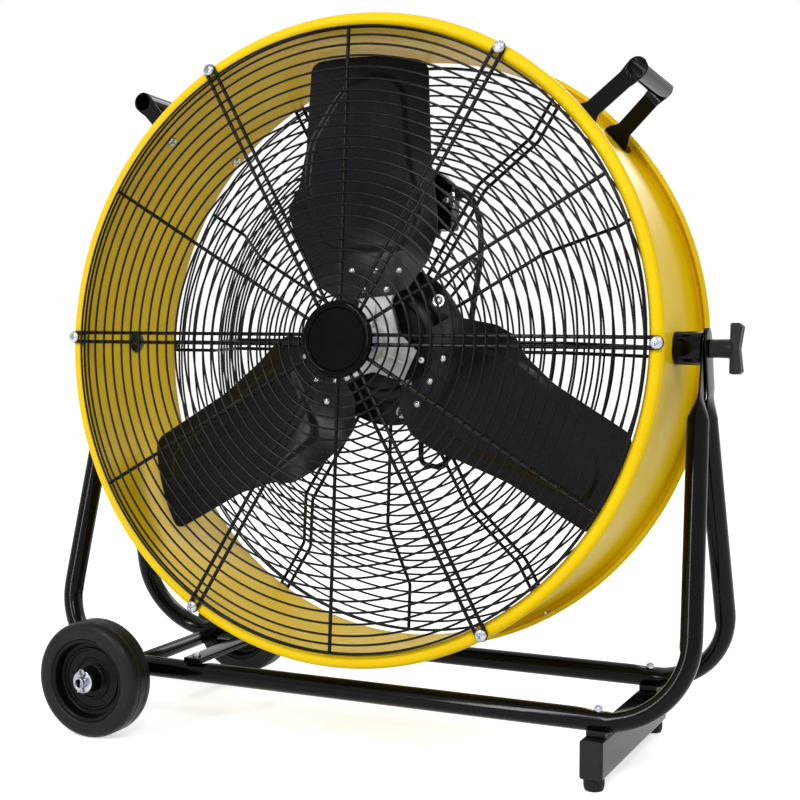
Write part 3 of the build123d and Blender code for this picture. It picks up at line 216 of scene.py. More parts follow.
# The edge colours given to the black, grey and plastic finishes are partly rub and partly painted edge
# highlight.
FINISHES = {
    "yellow_paint": dict(
        tints=("F0CC00", "E9C300"), rough=(0.34, 0.44), cloud=5, specular=0.12, grain=((420, 0.012),),
        dust=("C99A10", 0.25),
    ),
    "black_paint": dict(
        tints=("050506", "08080A"), rough=(0.07, 0.12), cloud=8, edge=0.8, specular=0.13,
        grain=((90, 0.05), (700, 0.01)), edge_rub_and_highlight=("2A2A2C", 0.6),
    ),
    "black_wire": dict(
        tints=("050506", "09090A"), rough=(0.14, 0.24), cloud=20, specular=0.14, grain=((260, 0.05),),
    ),
    "blade_black": dict(
        tints=("0D0D11", "131319"), rough=(0.24, 0.34), cloud=9, specular=0.13,
        grain=((60, 0.08), (1100, 0.03)), dust=("2C2C36", 0.5),
    ),
    "motor_black": dict(
        tints=("0C0C0D", "131315"), rough=(0.34, 0.5), cloud=12, edge=0.8, specular=0.2,
        grain=((500, 0.04),), edge_rub_and_highlight=("303032", 0.8),
    ),
    "zinc": dict(
        tints=("C2C6CC", "979DA6"), rough=(0.12, 0.26), cloud=70, metallic=1.0, grain=((300, 0.02),),
    ),
    "steel": dict(
        tints=("BDBEC0", "A0A1A4"), rough=(0.22, 0.4), cloud=60, metallic=1.0, edge=0.3,
        grain=((400, 0.015),),
    ),
    "cast_grey": dict(
        tints=("B9BDBE", "CDD1D2"), rough=(0.38, 0.56), cloud=40, metallic=0.2, edge=0.8,
        grain=((350, 0.09), (1200, 0.05)), edge_rub_and_highlight=("E2E5E6", 0.8),
    ),
    "winding_copper": dict(
        tints=("8C4A22", "A85C2B"), rough=(0.25, 0.4), cloud=50, metallic=1.0, grain=((900, 0.2),),
    ),
    "black_plastic": dict(
        tints=("0D0D0E", "141415"), rough=(0.4, 0.56), cloud=30, edge=0.8, specular=0.26,
        grain=((900, 0.05), (2400, 0.03)), edge_rub_and_highlight=("2A2A2C", 0.8),
    ),
    "badge_gloss": dict(
        tints=("040404", "080808"), rough=(0.06, 0.12), cloud=30, specular=0.06, grain=((120, 0.01),),
    ),
    "wheel_plastic": dict(
        tints=("09090A", "0E0E0F"), rough=(0.26, 0.40), cloud=25, edge=0.7, specular=0.12,
        grain=((420, 0.05),), edge_rub_and_highlight=("222224", 0.8),
    ),
    "wheel_rubber": dict(
        tints=("0A0A0B", "111111"), rough=(0.34, 0.5), cloud=22, edge=0.8, specular=0.2,
        grain=((240, 0.06), (1300, 0.04)), dust=("2C2A27", 0.35),
    ),
    "foot_rubber": dict(
        tints=("0B0B0C", "131313"), rough=(0.5, 0.68), cloud=40, edge=0.6, specular=0.2,
        grain=((800, 0.06),),
    ),
    "lead_rubber": dict(
        tints=("0A0A0B", "101011"), rough=(0.36, 0.5), cloud=60, specular=0.25, grain=((900, 0.04),),
    ),
}
materials = {name: finish(name, **values) for name, values in FINISHES.items()}

for row in frame["record"]["subparts"]:
    mesh = frame["nodes"][row["node"]].data
    mesh.materials.clear()
    mesh.materials.append(materials[row["material_slot"]])

# ---- Mesh tools ----
# A form is a pair: a list of points in millimetres and a list of faces that index them.
# The matrices stand the axis of a lathe on end, lay it along X, swap x and y, or left and right.

UPRIGHT = Matrix.Rotation(radians(90), 4, "X")
LENGTHWAYS = Matrix.Rotation(radians(-90), 4, "Z")
SWAP_XY = Matrix(((0, 1, 0, 0), (1, 0, 0, 0), (0, 0, 1, 0), (0, 0, 0, 1)))
MIRROR_X = Matrix.Scale(-1, 4, (1, 0, 0))


def rounded(corners, radius, steps=5, closed=True):
    """Points of a polyline with its corners rounded; radius is one value or one per corner."""
    corners = [Vector(corner) for corner in corners]
    radii = radius if isinstance(radius, (list, tuple)) else [radius] * len(corners)
    points = []
    for i, (corner, size) in enumerate(zip(corners, radii)):
        if not size or (not closed and i in (0, len(corners) - 1)):
            points.append(corner)
            continue
        back = corners[i - 1] - corner
        ahead = corners[(i + 1) % len(corners)] - corner
        half = back.angle(ahead) / 2
        cut = min(size / tan(half), 0.49 * min(back.length, ahead.length))
        centre = corner + (back.normalized() + ahead.normalized()).normalized() * (cut / cos(half))
        first = corner + back.normalized() * cut - centre
        last = corner + ahead.normalized() * cut - centre
        sweep = first.angle(last)
        for k in range(steps + 1):
            share = k / steps
            blend = first * sin((1 - share) * sweep) + last * sin(share * sweep)
            points.append(centre + blend / sin(sweep))
    return points


def circle(radius, count):
    """Points of a circle in a plane."""
    turns = [2 * pi * k / count for k in range(count)]
    return [(radius * cos(t), radius * sin(t)) for t in turns]


def arc(centre, radius, start, sweep, steps):
    """Points of an arc in a plane; angles in degrees."""
    turns = [radians(start + sweep * k / steps) for k in range(steps + 1)]
    return [(centre[0] + radius * cos(t), centre[1] + radius * sin(t)) for t in turns]


def rectangle(left, right, low, high):
    """Corners of a rectangle in a plane."""
    return [(left, low), (right, low), (right, high), (left, high)]


def divided(points, step):
    """The polyline with points at most step apart."""
    fine = [Vector(points[0])]
    for here, there in zip(points, points[1:]):
        here, there = Vector(here), Vector(there)
        count = max(1, int((there - here).length / step + 0.999))
        fine += [here.lerp(there, (k + 1) / count) for k in range(count)]
    return fine


def loft(rows, around=True, ring=False, caps=False):
    """Skin over rows of as many points each; around closes each row, ring joins last to first."""
    width = len(rows[0])
    points = [tuple(point) for row in rows for point in row]
    faces = []
    for i in range(len(rows) if ring else len(rows) - 1):
        here, there = i * width, (i + 1) % len(rows) * width
        for j in range(width if around else width - 1):
            k = (j + 1) % width
            faces.append((here + j, here + k, there + k, there + j))
    if caps:
        faces.append(tuple(range(width)))
        faces.append(tuple(range(len(points) - width, len(points))))
    return points, faces


def lathe(profile, steps=96, closed=True):
    """The profile, points of radius and y, turned about the Y axis."""
    rows = [[(r * x, y, r * z) for r, y in profile] for x, z in circle(1, steps)]
    return loft(rows, around=closed, ring=True)


def two_sided(half):
    """Profile of a ring that is the same on both sides of y = 0, from the half of it."""
    return [(r, -y) for r, y in half] + [(r, y) for r, y in half[::-1]]


def prism(outline, low, high):
    """The outline, points of x and z, from y = low to y = high."""
    return loft([[(x, y, z) for x, z in outline] for y in (low, high)], caps=True)


def skinned(front, back, faces):
    """Sheet between two sides of as many points, with walls along its free edges."""
    count = len(front)
    edges = Counter(frozenset(pair) for face in faces for pair in zip(face, face[1:] + face[:1]))
    skin = [tuple(face) for face in faces] + [tuple(count + i for i in face[::-1]) for face in faces]
    for edge, uses in edges.items():
        if uses == 1:
            a, b = edge
            skin.append((a, b, count + b, count + a))
    return front + back, skin


def tangents(path, closed=False):
    """Way along the path at each of its points."""
    last, ways = len(path) - 1, []
    for i, spot in enumerate(path):
        before = path[i - 1] if closed or i else spot
        after = path[(i + 1) % len(path)] if closed or i < last else spot
        ways.append((after - before).normalized())
    return ways


def swept(path, sections, closed=False):
    """Skin along a path; sections gives the two-way outline at each point, in its normal plane."""
    path = [Vector(point) for point in path]
    ways = tangents(path, closed)
    side = ways[0].orthogonal().normalized()
    rows = []
    for point, tangent, section in zip(path, ways, sections):
        side = (side - tangent * side.dot(tangent)).normalized()
        other = tangent.cross(side)
        rows.append([point + side * a + other * b for a, b in section])
    return loft(rows, ring=closed, caps=not closed)


def wire_along(path, radius, sides=8, closed=False):
    """Round wire along a path."""
    return swept(path, [circle(radius, sides)] * len(path), closed)


def placed(form, matrix):
    """The form moved by a matrix."""
    return [tuple(matrix @ Vector(point)) for point in form[0]], form[1]


def spun(form, degrees_about_y):
    """The form turned about the fan axis, towards +X seen from the front."""
    return placed(form, Matrix.Rotation(radians(degrees_about_y), 4, "Y"))


def facing(spot, direction):
    """Matrix that sets a form, drawn with +Z up on the origin, on spot and facing direction."""
    return Matrix.Translation(spot) @ Vector(direction).to_track_quat("Z", "Y").to_matrix().to_4x4()


def piece(name, forms, body, slot, node, crease=32.0, bevel=0.0, steps=2):
    """A named mesh of the forms: it rides on a body, takes a slot's finish and replaces a node."""
    mesh = bpy.data.meshes.new(name)
    points, faces = [], []
    for form_points, form_faces in forms:
        start = len(points)
        points += [Vector(point) * MM for point in form_points]
        faces += [[start + i for i in face] for face in form_faces]
    mesh.from_pydata(points, [], faces)
    skin = bmesh.new()
    skin.from_mesh(mesh)
    bmesh.ops.remove_doubles(skin, verts=skin.verts, dist=0.002 * MM)
    bmesh.ops.recalc_face_normals(skin, faces=skin.faces)
    skin.to_mesh(mesh)
    skin.free()
    mesh.shade_smooth()
    mesh.set_sharp_from_angle(angle=radians(crease))
    mesh.materials.append(materials[slot])
    if body not in ON_FLOOR:
        mesh.transform(DRUM)
    made = bpy.data.objects.new(name, mesh)
    scene.collection.objects.link(made)
    if bevel:
        rounding = made.modifiers.new("rounding", "BEVEL")
        rounding.width = bevel * MM
        rounding.segments = steps
        rounding.limit_method = "ANGLE"
        rounding.angle_limit = radians(40)
        rounding.harden_normals = True
    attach(made, body)
    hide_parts(node)


# ---- Drum shell ----

SHEET = 1.5
BORE_R = 320.4
WALL_R = BORE_R + SHEET
WALL_MID = BORE_R + SHEET / 2
DRUM_FRONT = -101.5
BEAD_R = 7.3
FLARE_START, FLARE_END, FLARE_RADIUS = 60.0, 86.0, 104.5


def drum_line():
    """Middle of the drum's sheet, as radius and y, from the front roll to the rear roll."""
    curl = BEAD_R - SHEET / 2
    bead_y = DRUM_FRONT + BEAD_R
    line = arc((WALL_MID + curl, bead_y), curl, 430, -250, 44)
    line += [(WALL_MID, bead_y + (FLARE_START - bead_y) * k / 20) for k in range(1, 20)]
    sweep = degrees(asin((FLARE_END - FLARE_START) / FLARE_RADIUS))
    line += arc((WALL_MID + FLARE_RADIUS, FLARE_START), FLARE_RADIUS, 180, -sweep, 12)
    turn, turn_r = radians(sweep), 4.0
    middle = (line[-1][0] + turn_r * cos(turn), line[-1][1] - turn_r * sin(turn))
    line += arc(middle, turn_r, 180 - sweep, sweep - 90, 8)[1:]
    roll, lip_end, rear = 3.9, 332.0, line[-1][1]
    line += arc((lip_end, rear - roll), roll, 90, -180, 20)
    return line


def sheet_outline(line, thickness):
    """Closed outline of sheet that follows a line."""
    line = np.array(line, float)
    along = np.gradient(line, axis=0)
    along /= np.linalg.norm(along, axis=1)[:, None]
    across = np.column_stack([-along[:, 1], along[:, 0]]) * thickness / 2
    return [tuple(p) for p in np.vstack([line + across, (line - across)[::-1]])]


shell_line = drum_line()
REAR_FACE = max(y for r, y in shell_line) + SHEET / 2
piece(
    "shell", [lathe(sheet_outline(shell_line, SHEET), 256)], "drum", "yellow_paint",
    "drum_shell", crease=50,
)

# ---- Guards ----

WIRE_R, RING_R = 2.0, 1.2
SCREW_CIRCLE = 329.75
LOOP_HALF = 5.0
OUTER_RING = 319.0
RIM_PITCH, RING_PITCH = 9.3, 11.6
WELD = 0.4
SPOKES = 6
FRONT_RINGS_END, REAR_RINGS_END = 39.5, 85.4
FRONT_SPOKE_Y = DRUM_FRONT - WIRE_R
LOOP_INNER = 32.0


def ring(radius, y, thickness=RING_R):
    """Round wire ring about the fan axis."""
    return wire_along([(x, y, z) for x, z in circle(radius, 180)], thickness, closed=True)


def loop_end(start_angle):
    """Half turn of a double spoke about its screw, as steps outwards and to the side."""
    return arc((0, 0), LOOP_HALF, start_angle, 180, 8)


guard_forms = []
for k in range(SPOKES):
    track = [(SCREW_CIRCLE + x, FRONT_SPOKE_Y, z) for x, z in loop_end(-90)]
    track += [(LOOP_INNER + x, FRONT_SPOKE_Y, z) for x, z in loop_end(90)]
    guard_forms.append(spun(wire_along(track, WIRE_R, 10, closed=True), -60 * k))
    reach_out = OUTER_RING + RING_R
    single = [(LOOP_INNER, FRONT_SPOKE_Y, 0), (reach_out, FRONT_SPOKE_Y, 0)]
    guard_forms.append(spun(wire_along(single, WIRE_R, 10), -60 * k - 30))
ring_radii = [OUTER_RING - k * RIM_PITCH for k in range(3)]
while ring_radii[-1] - RING_PITCH > FRONT_RINGS_END:
    ring_radii.append(ring_radii[-1] - RING_PITCH)
for radius in ring_radii:
    guard_forms.append(ring(radius, FRONT_SPOKE_Y - WIRE_R - RING_R + WELD))
guard_forms.append(ring(OUTER_RING, FRONT_SPOKE_Y + WIRE_R + RING_R - WELD))
plate_profile = rounded(
    [(0, DRUM_FRONT - 4), (36, DRUM_FRONT - 4), (36, DRUM_FRONT - 1), (28, DRUM_FRONT), (0, DRUM_FRONT)],
    [0, 0.8, 0.8, 2, 0],
)
guard_forms.append(lathe(plate_profile))
piece("front_grille", guard_forms, "drum", "black_wire", "front_guard", crease=60)

CONE_OUTER, CONE_INNER = 268.0, 197.0
DISH_Y = 27.0
MOUNT_INNER, MOUNT_OUTER = 70.0, 81.0
PLATE_CIRCLE, PLATE_ANGLE = 74.0, 42.0
SPARE_ANGLE, SPARE_R = 52.5, 3.4
REAR_SPOKE_Y = REAR_FACE + WIRE_R
cone_drop = REAR_SPOKE_Y - DISH_Y
cone_length = hypot(cone_drop, CONE_OUTER - CONE_INNER)


def rear_track(end, side):
    """Path of a rear spoke from the mounting ring out to end, side off the radius."""
    line = [(MOUNT_INNER + 1, DISH_Y), (CONE_INNER, DISH_Y)]
    line += [(CONE_OUTER, REAR_SPOKE_Y), (end, REAR_SPOKE_Y)]
    return rounded([(x, y, side) for x, y in line], 9.0, 6, closed=False)


def rear_ring_spot(run):
    """Radius and y of a rear ring's wire, run millimetres in from the edge of the cone."""
    lift = WIRE_R + RING_R - WELD
    if run <= 0:
        return CONE_OUTER - run, REAR_SPOKE_Y + lift
    if run >= cone_length:
        return CONE_INNER - (run - cone_length), DISH_Y + lift
    share = run / cone_length
    inward, forward = (CONE_OUTER - CONE_INNER) / cone_length, cone_drop / cone_length
    radius = CONE_OUTER - share * (CONE_OUTER - CONE_INNER) - lift * forward
    return radius, REAR_SPOKE_Y - share * cone_drop + lift * inward


def pierced_ring(inner, outer, low, high):
    """Flat ring about the fan axis from y = low to y = high, with the motor plate's spare holes."""
    rims = [(0, 0, outer, 96), (0, 0, inner, 72)]
    for k in range(3):
        turn = radians(SPARE_ANGLE + 120 * k)
        rims.append((PLATE_CIRCLE * cos(turn), PLATE_CIRCLE * sin(turn), SPARE_R, 20))
    spots, edges = [], []
    for x, z, radius, count in rims:
        start = len(spots)
        spots += [Vector(p) for p in arc((x, z), radius, 0, 360 * (count - 1) / count, count - 1)]
        edges += [(start + i, start + (i + 1) % count) for i in range(count)]
    verts, edges, faces, *_ = delaunay_2d_cdt(spots, edges, [], 2, 1e-5)
    sides = [[(v.x, y, v.y) for v in verts] for y in (low, high)]
    return skinned(*sides, faces)


guard_forms = []
for k in range(SPOKES):
    track = rear_track(SCREW_CIRCLE, -LOOP_HALF)
    track += [Vector((SCREW_CIRCLE + x, REAR_SPOKE_Y, z)) for x, z in loop_end(-90)[1:-1]]
    track += rear_track(SCREW_CIRCLE, LOOP_HALF)[::-1]
    guard_forms.append(spun(wire_along(track, WIRE_R, 10), -60 * k))
    single = rear_track(OUTER_RING + RING_R, 0)
    guard_forms.append(spun(wire_along(single, WIRE_R, 10), -60 * k - 30))
run, index = CONE_OUTER - OUTER_RING, 0
while rear_ring_spot(run)[0] > REAR_RINGS_END:
    guard_forms.append(ring(*rear_ring_spot(run)))
    run += RIM_PITCH if index < 2 else RING_PITCH
    index += 1
guard_forms.append(ring(OUTER_RING, REAR_SPOKE_Y - WIRE_R - RING_R + WELD))
mount_back = DISH_Y + WIRE_R
guard_forms.append(pierced_ring(MOUNT_INNER, MOUNT_OUTER, mount_back - WELD, mount_back + 1.6))
piece("rear_grille", guard_forms, "drum", "black_wire", "rear_guard", crease=60)

# ---- Badge cap ----

badge_seat = DRUM_FRONT - 2 * WIRE_R
CAP_R, CAP_ROLL, CAP_DEPTH, DISC_R = 39.5, 3.3, 6.4, 31.9
badge_front = badge_seat - CAP_DEPTH
roll_x = CAP_R - CAP_ROLL
cap_profile = [(0, badge_seat), (CAP_R - 2, badge_seat), (CAP_R, badge_seat - 0.6)]
cap_profile += [(CAP_R, badge_front + CAP_ROLL + 0.1)]
cap_profile = rounded(cap_profile, [0, 0, 0.5, 0], 3, closed=False)
cap_profile += arc((roll_x, badge_front + CAP_ROLL), CAP_ROLL, 0, -90, 8)[1:]
cap_face = [(roll_x, badge_front), (33.6, badge_front), (32.0, badge_front + 2.8), (0, badge_front + 2.8)]
cap_profile += rounded(cap_face, [0, 2.2, 0.8, 0], 4, closed=False)
piece("badge_ring", [lathe(cap_profile, 128, closed=False)], "drum", "badge_gloss", "badge_cup")
disc_front = badge_front + 2.0
disc_profile = [(0, disc_front + 1.2), (DISC_R, disc_front + 1.2), (DISC_R, disc_front + 0.3)]
disc_profile += [(DISC_R - 0.4, disc_front), (0, disc_front - 0.25)]
piece("badge_face", [lathe(disc_profile, 96, closed=False)], "drum", "badge_gloss", "badge_disc")

# ---- Blades ----

BLADE_TIP_R = 307.5
BLADE_Y = -23.25
BLADE_AXIS_X = -12.0
BLADE_SHEET = 1.5
STATION_R = (40, 86, 135, 200, 315)
STATION_PITCH = (0, 0, 19, 24, 21)
blade_corners = [
    (-70.8, 330), (-73, 205), (-81, 165), (-93, 143), (-91, 118), (-71, 63), (-42, 46),
    (22, 52), (40, 60), (60, 88), (63, 118), (49.3, 200), (43.8, 330),
]
blade_radii = [0, 60, 8, 12, 30, 24, 14, 12, 12, 20, 60, 60, 0]
panel_corners = [
    (-45, 101), (-58, 107), (-72, 167), (-67, 214), (-50, 248), (-34, 275), (-7, 287),
    (10, 285), (21.5, 271), (24, 240), (29, 194), (37, 166), (41, 145), (36, 117), (24, 101),
]
panel_radii = [6, 8, 60, 60, 40, 20, 20, 14, 14, 60, 60, 40, 20, 20, 8]
PANEL_RISE = 3.0
PANEL_BEVEL = 4.4
TIP_CORNER_R = 13.0


def tip_corner(upper, lower):
    """Where a side of the blade, from lower to upper, meets the tip circle."""
    low, high = 0.0, 1.0
    for _ in range(40):
        share = (low + high) / 2
        spot = Vector(lower).lerp(Vector(upper), share)
        low, high = (share, high) if spot.length < BLADE_TIP_R else (low, share)
    return spot


def blade_loop():
    """Outline of the blade, cut off by the tip circle, its tip corners rounded."""
    outline = rounded(blade_corners, blade_radii, 6)
    left = tip_corner(blade_corners[0], blade_corners[1])
    right = tip_corner(blade_corners[-1], blade_corners[-2])
    first, last = atan2(right.y, right.x), atan2(left.y, left.x)
    turns = [first + (last - first) * k / 24 for k in range(3, 22)]
    crown = [Vector((BLADE_TIP_R * cos(t), BLADE_TIP_R * sin(t))) for t in turns]
    sides = [spot for spot in outline if spot.length < BLADE_TIP_R]
    loop = sides
    for before, corner, after in ((sides[-1], right, crown[0]), (crown[-1], left, sides[0])):
        arms = [corner + (end - corner).normalized() * 3 * TIP_CORNER_R for end in (before, after)]
        loop = loop + rounded([arms[0], corner, arms[1]], [0, TIP_CORNER_R, 0], 6, closed=False)[1:-1]
        loop = loop + crown if corner == right else loop
    return loop


def tangent_of_pitch(radius):
    """Slope of the blade across its chord, eased between the stations."""
    shifts = np.linspace(-16, 16, 9)
    pitch = [np.interp(radius + s, STATION_R, STATION_PITCH) for s in shifts]
    return tan(radians(float(np.mean(pitch))))


def signed_distance(points, loop):
    """Distance of each point to a closed loop, positive inside."""
    start = np.array(loop, float)
    end = np.roll(start, -1, axis=0)
    gap = end - start
    offset = points[:, None, :] - start[None]
    share = np.clip((offset * gap).sum(2) / (gap**2).sum(1), 0, 1)
    away = np.linalg.norm(offset - share[..., None] * gap, axis=2).min(1)
    crosses = (start[:, 1] > points[:, 1, None]) != (end[:, 1] > points[:, 1, None])
    safe = np.where(np.abs(gap[:, 1]) < 1e-9, 1e-9, gap[:, 1])
    meet = start[:, 0] + (points[:, 1, None] - start[:, 1]) / safe * gap[:, 0]
    inside = (crosses & (points[:, 0, None] < meet)).sum(1) % 2 == 1
    return np.where(inside, away, -away)


def ease(value):
    """Smooth step of an array from 0 to 1."""
    value = np.clip(value, 0, 1)
    return value * value * (3 - 2 * value)


def blade_form():
    """Pressed sheet blade pointing up, with its raised leaf-shaped panel."""
    fine = blade_loop()
    boundary = np.array([tuple(p) for p in divided(fine + [fine[0]], 3.0)[:-1]])
    xs, zs = np.meshgrid(np.arange(-96, 70, 2.6), np.arange(44, 310, 2.6))
    inner = np.column_stack([xs.ravel(), zs.ravel()])
    inner = inner[signed_distance(inner, boundary) > 1.5]
    flat = np.vstack([boundary, inner])
    count = len(boundary)
    edges = [(i, (i + 1) % count) for i in range(count)]
    verts, _, faces, *_ = delaunay_2d_cdt([Vector(p) for p in flat], edges, [], 1, 1e-5)
    flat = np.array([tuple(v) for v in verts])
    panel = rounded(panel_corners, panel_radii, 5)
    rise = PANEL_RISE * ease(signed_distance(flat, panel) / PANEL_BEVEL + 0.5)
    slope = np.array([tangent_of_pitch(z) for z in flat[:, 1]])
    chord = (flat[:, 0] - BLADE_AXIS_X) / 72
    camber = 3.0 * ease((flat[:, 1] - 95) / 80) * (1 - chord**2)
    middle = BLADE_Y + (flat[:, 0] - BLADE_AXIS_X) * slope - rise - camber
    half = BLADE_SHEET / 2
    sides = [[(x, y + offset, z) for (x, z), y in zip(flat, middle)] for offset in (-half, half)]
    return skinned(*sides, faces)


blade = blade_form()
for number, turn in ((1, 0), (2, -120), (3, 120)):
    piece(
        f"fan_blade_{number}", [spun(blade, turn)], "rotor", "blade_black",
        f"blade_{number}", crease=50,
    )

# ---- Stand tubes ----

TUBE_R = 11.0
BASE_HEIGHT, BASE_SPREAD = 64.0, 94.0
BEND_RADIUS = 82.0
TAB_X = WALL_R + 27.6 + 0.3
TAB_THICKNESS, TAB_WIDTH = 3.0, 29.0
TAB_TOP, TAB_LOW, NECK_DROP = 21.0, 46.0, 72.0
LEG_X = TAB_X - 0.8
base_drop = hypot(BASE_SPREAD, PIVOT_HEIGHT - BASE_HEIGHT)
CORNER_X = LEG_X + (base_drop - NECK_DROP) * tan(radians(2.5))
STRAIGHT_END = CORNER_X - BEND_RADIUS * tan(radians(46.25))
FOOT_X = STRAIGHT_END - 2.0
STRAP_X = -180.0


def tube_section(height, x, bend):
    """Outline of the tube: pressed flat at the tabs, dished under the nuts, creased in bends."""
    flat = float(ease(np.array((height + NECK_DROP + 2) / (NECK_DROP - TAB_LOW + 2))))
    crown = max(0.0, height - (TAB_TOP - TAB_WIDTH / 2)) / (TAB_WIDTH / 2)
    width = TAB_WIDTH / 2 * sqrt(max(0.0, 1 - crown**2)) + 0.15
    on_base = height < 8 - base_drop
    dish = sum(exp(-(((x - spot) / 12) ** 2)) for spot in (FOOT_X, STRAP_X)) if on_base else 0
    outline = []
    for k in range(28):
        turn = 2 * pi * k / 28
        a, b = cos(turn), sin(turn)
        inner = max(0.0, a)
        crush = 1 - 0.24 * bend * inner**2
        pressed = 1 - 0.20 * dish * inner**3
        thin = TAB_THICKNESS / 2 * (abs(a) ** 0.45) * (1 if a > 0 else -1)
        round_a, round_b = TUBE_R * a * crush * pressed, TUBE_R * b * (1 + 0.03 * bend)
        outline.append((round_a + (thin - round_a) * flat, round_b + (width * b - round_b) * flat))
    return outline


def frame_tube(side, tab_middle):
    """Stand tube with a flat tab at each end; side is -1 for the front one."""
    up = Vector((0, -side * BASE_SPREAD, PIVOT_HEIGHT - BASE_HEIGHT)).normalized()
    corners = [(tab_middle, TAB_TOP), (tab_middle, -TAB_LOW), (LEG_X, -NECK_DROP), (CORNER_X, -base_drop)]
    corners += [(-x, h) for x, h in corners[::-1]]
    radii = [0, 25, 40, BEND_RADIUS, BEND_RADIUS, 40, 25, 0]
    flat_path = divided(rounded(corners, radii, 18, closed=False), 5.0)
    top = [Vector((tab_middle, TAB_TOP - drop)) for drop in (0, 0.4, 1.2, 2.5)]
    mirrored_top = [Vector((-p.x, p.y)) for p in top[::-1]]
    flat_path = top + flat_path[1:-1] + mirrored_top
    rows = []
    for spot, along in zip(flat_path, tangents(flat_path)):
        inwards = Vector((along.y, -along.x))
        lean = abs(along.x) * sqrt(max(0.0, 1 - along.x**2)) * 2
        bend = float(ease(np.array(lean * 5 - 0.6))) if spot.y < -NECK_DROP - 30 else 0.0
        axis_in = Vector((inwards.x, 0, 0)) + up * inwards.y
        axis_out = Vector((1, 0, 0)).cross(up)
        centre = Vector((spot.x, 0, PIVOT_HEIGHT)) + up * spot.y
        section = tube_section(spot.y, spot.x, bend)
        rows.append([centre + axis_in * a + axis_out * b for a, b in section])
    return loft(rows, caps=True)


tab_middle = TAB_X + TAB_THICKNESS / 2
for name, side, middle in (("front", -1, tab_middle), ("rear", 1, tab_middle + TAB_THICKNESS)):
    piece(f"{name}_tube", [frame_tube(side, middle)], "stand", "black_paint", f"{name}_frame_tube", 50)

# ---- Fasteners ----
# Each is drawn with its seat on the origin and its head or nut towards +Z.


def circle_points(radius, z, count):
    """Points of a circle about the Z axis."""
    return [(x, y, z) for x, y in circle(radius, count)]


def rod(radius, low, high, chamfer=0.3):
    """Cylinder along Z with broken edges."""
    end = radius - chamfer
    rows = ((end, low), (radius, low + chamfer), (radius, high - chamfer), (end, high))
    return loft([circle_points(size, z, 32) for size, z in rows], caps=True)


def thread(radius, low, high, pitch):
    """Ridged end of a bolt along Z."""
    rows, z, crest = [], low, True
    while z < high:
        rows.append(circle_points(radius if crest else radius * 0.88, z, 24))
        z, crest = z + pitch / 2, not crest
    rows.append(circle_points(radius * 0.8, high, 24))
    return loft(rows, caps=True)


def hexagon(width, low, high, chamfer=0.7):
    """Hexagonal head or nut along Z with its top corners cut to a round."""
    rows = []
    for inset, z in ((0.0, low), (0.0, high - chamfer), (1.0, high)):
        row = []
        for k in range(36):
            turn = 2 * pi * k / 36
            flat = width / 2 / cos((turn + pi / 6) % (pi / 3) - pi / 6)
            size = flat + (min(flat, width / 2 * 0.94) - flat) * inset
            row.append((size * cos(turn), size * sin(turn), z))
        rows.append(row)
    return loft(rows, caps=True)


def pan_head(radius, height):
    """Domed screw head with a cross recess."""
    shares = [0.0, 0.07, 0.14, 0.2, 0.26, 0.32, 0.38, 0.44, 0.5, 0.57, 0.66, 0.76, 0.86, 0.94, 0.985, 1.0]
    rows = []
    for k in range(48):
        turn = 2 * pi * k / 48
        row = []
        for share in shares:
            x, y = share * cos(turn), share * sin(turn)
            arms = min(max(abs(x) - 0.11, abs(y) - 0.45), max(abs(y) - 0.11, abs(x) - 0.45))
            sunk = 0.6 * float(ease(np.array(0.5 - arms / 0.08)))
            z = height * (sqrt(max(0.0, 1 - share**3.4)) - sunk)
            row.append((radius * x, radius * y, z))
        rows.append(row + [(0.0, 0.0, 0.0)])
    return loft(rows, around=False, ring=True)


def seated(forms, spots):
    """The forms at several spots, each a point and the way it faces."""
    return [placed(form, facing(*spot)) for spot in spots for form in forms]


def polar_spots(radius, y, count, start_angle, way):
    """Spots round the fan axis, facing along it."""
    turns = [radians(start_angle + 360 / count * k) for k in range(count)]
    return [((radius * cos(t), y, radius * sin(t)), (0, way, 0)) for t in turns]


front_seats = polar_spots(SCREW_CIRCLE, FRONT_SPOKE_Y - WIRE_R, SPOKES, 0, -1)
rear_seats = polar_spots(SCREW_CIRCLE, REAR_SPOKE_Y + WIRE_R, SPOKES, 0, 1)
screw_forms = []
for seats, shank in ((front_seats, 14.0), (rear_seats, 8.0)):
    screw_forms += seated((pan_head(6.25, 3.0), rod(2.0, -shank, 0.2)), seats)
piece("guard_pan_screws", screw_forms, "drum", "zinc", "guard_screws", crease=38)

# ---- Foot bar, feet and strap ----

FOOT_BAR_WIDTH, FOOT_BAR_HALF, FOOT_BAR_WALL = 23.0, 118.0, 1.8
FOOT_HEIGHT, FOOT_SPREAD, FOOT_R = 12.0, 107.0, 10.25
TUBE_TOP = BASE_HEIGHT + TUBE_R
BAR_TOP = BASE_HEIGHT - TUBE_R - 3.0
NUT_WIDTH, NUT_HEIGHT, BOLT_HEAD, BOLT_TAIL, BOLT_R = 8.0, 4.0, 3.5, 1.5, 2.5
NUT_SINK = 1.6
STRAP_WIDTH, STRAP_THICKNESS, STRAP_HALF = 21.0, 6.0, BASE_SPREAD + 10.0


def bar_outline(inset, radius):
    """Outline of the foot bar, drawn in by inset, with its corners rounded."""
    half = FOOT_BAR_WIDTH / 2 - inset
    corners = rectangle(FOOT_X - half, FOOT_X + half, FOOT_HEIGHT + inset, BAR_TOP - inset)
    return rounded(corners, radius, 5)


def box_tube(outer, inner, low_y, high_y):
    """Box section along Y between two outlines of as many points."""
    rims = ((outer, low_y), (outer, high_y), (inner, high_y), (inner, low_y))
    return loft([[(x, y, z) for x, z in outline] for outline, y in rims], ring=True)


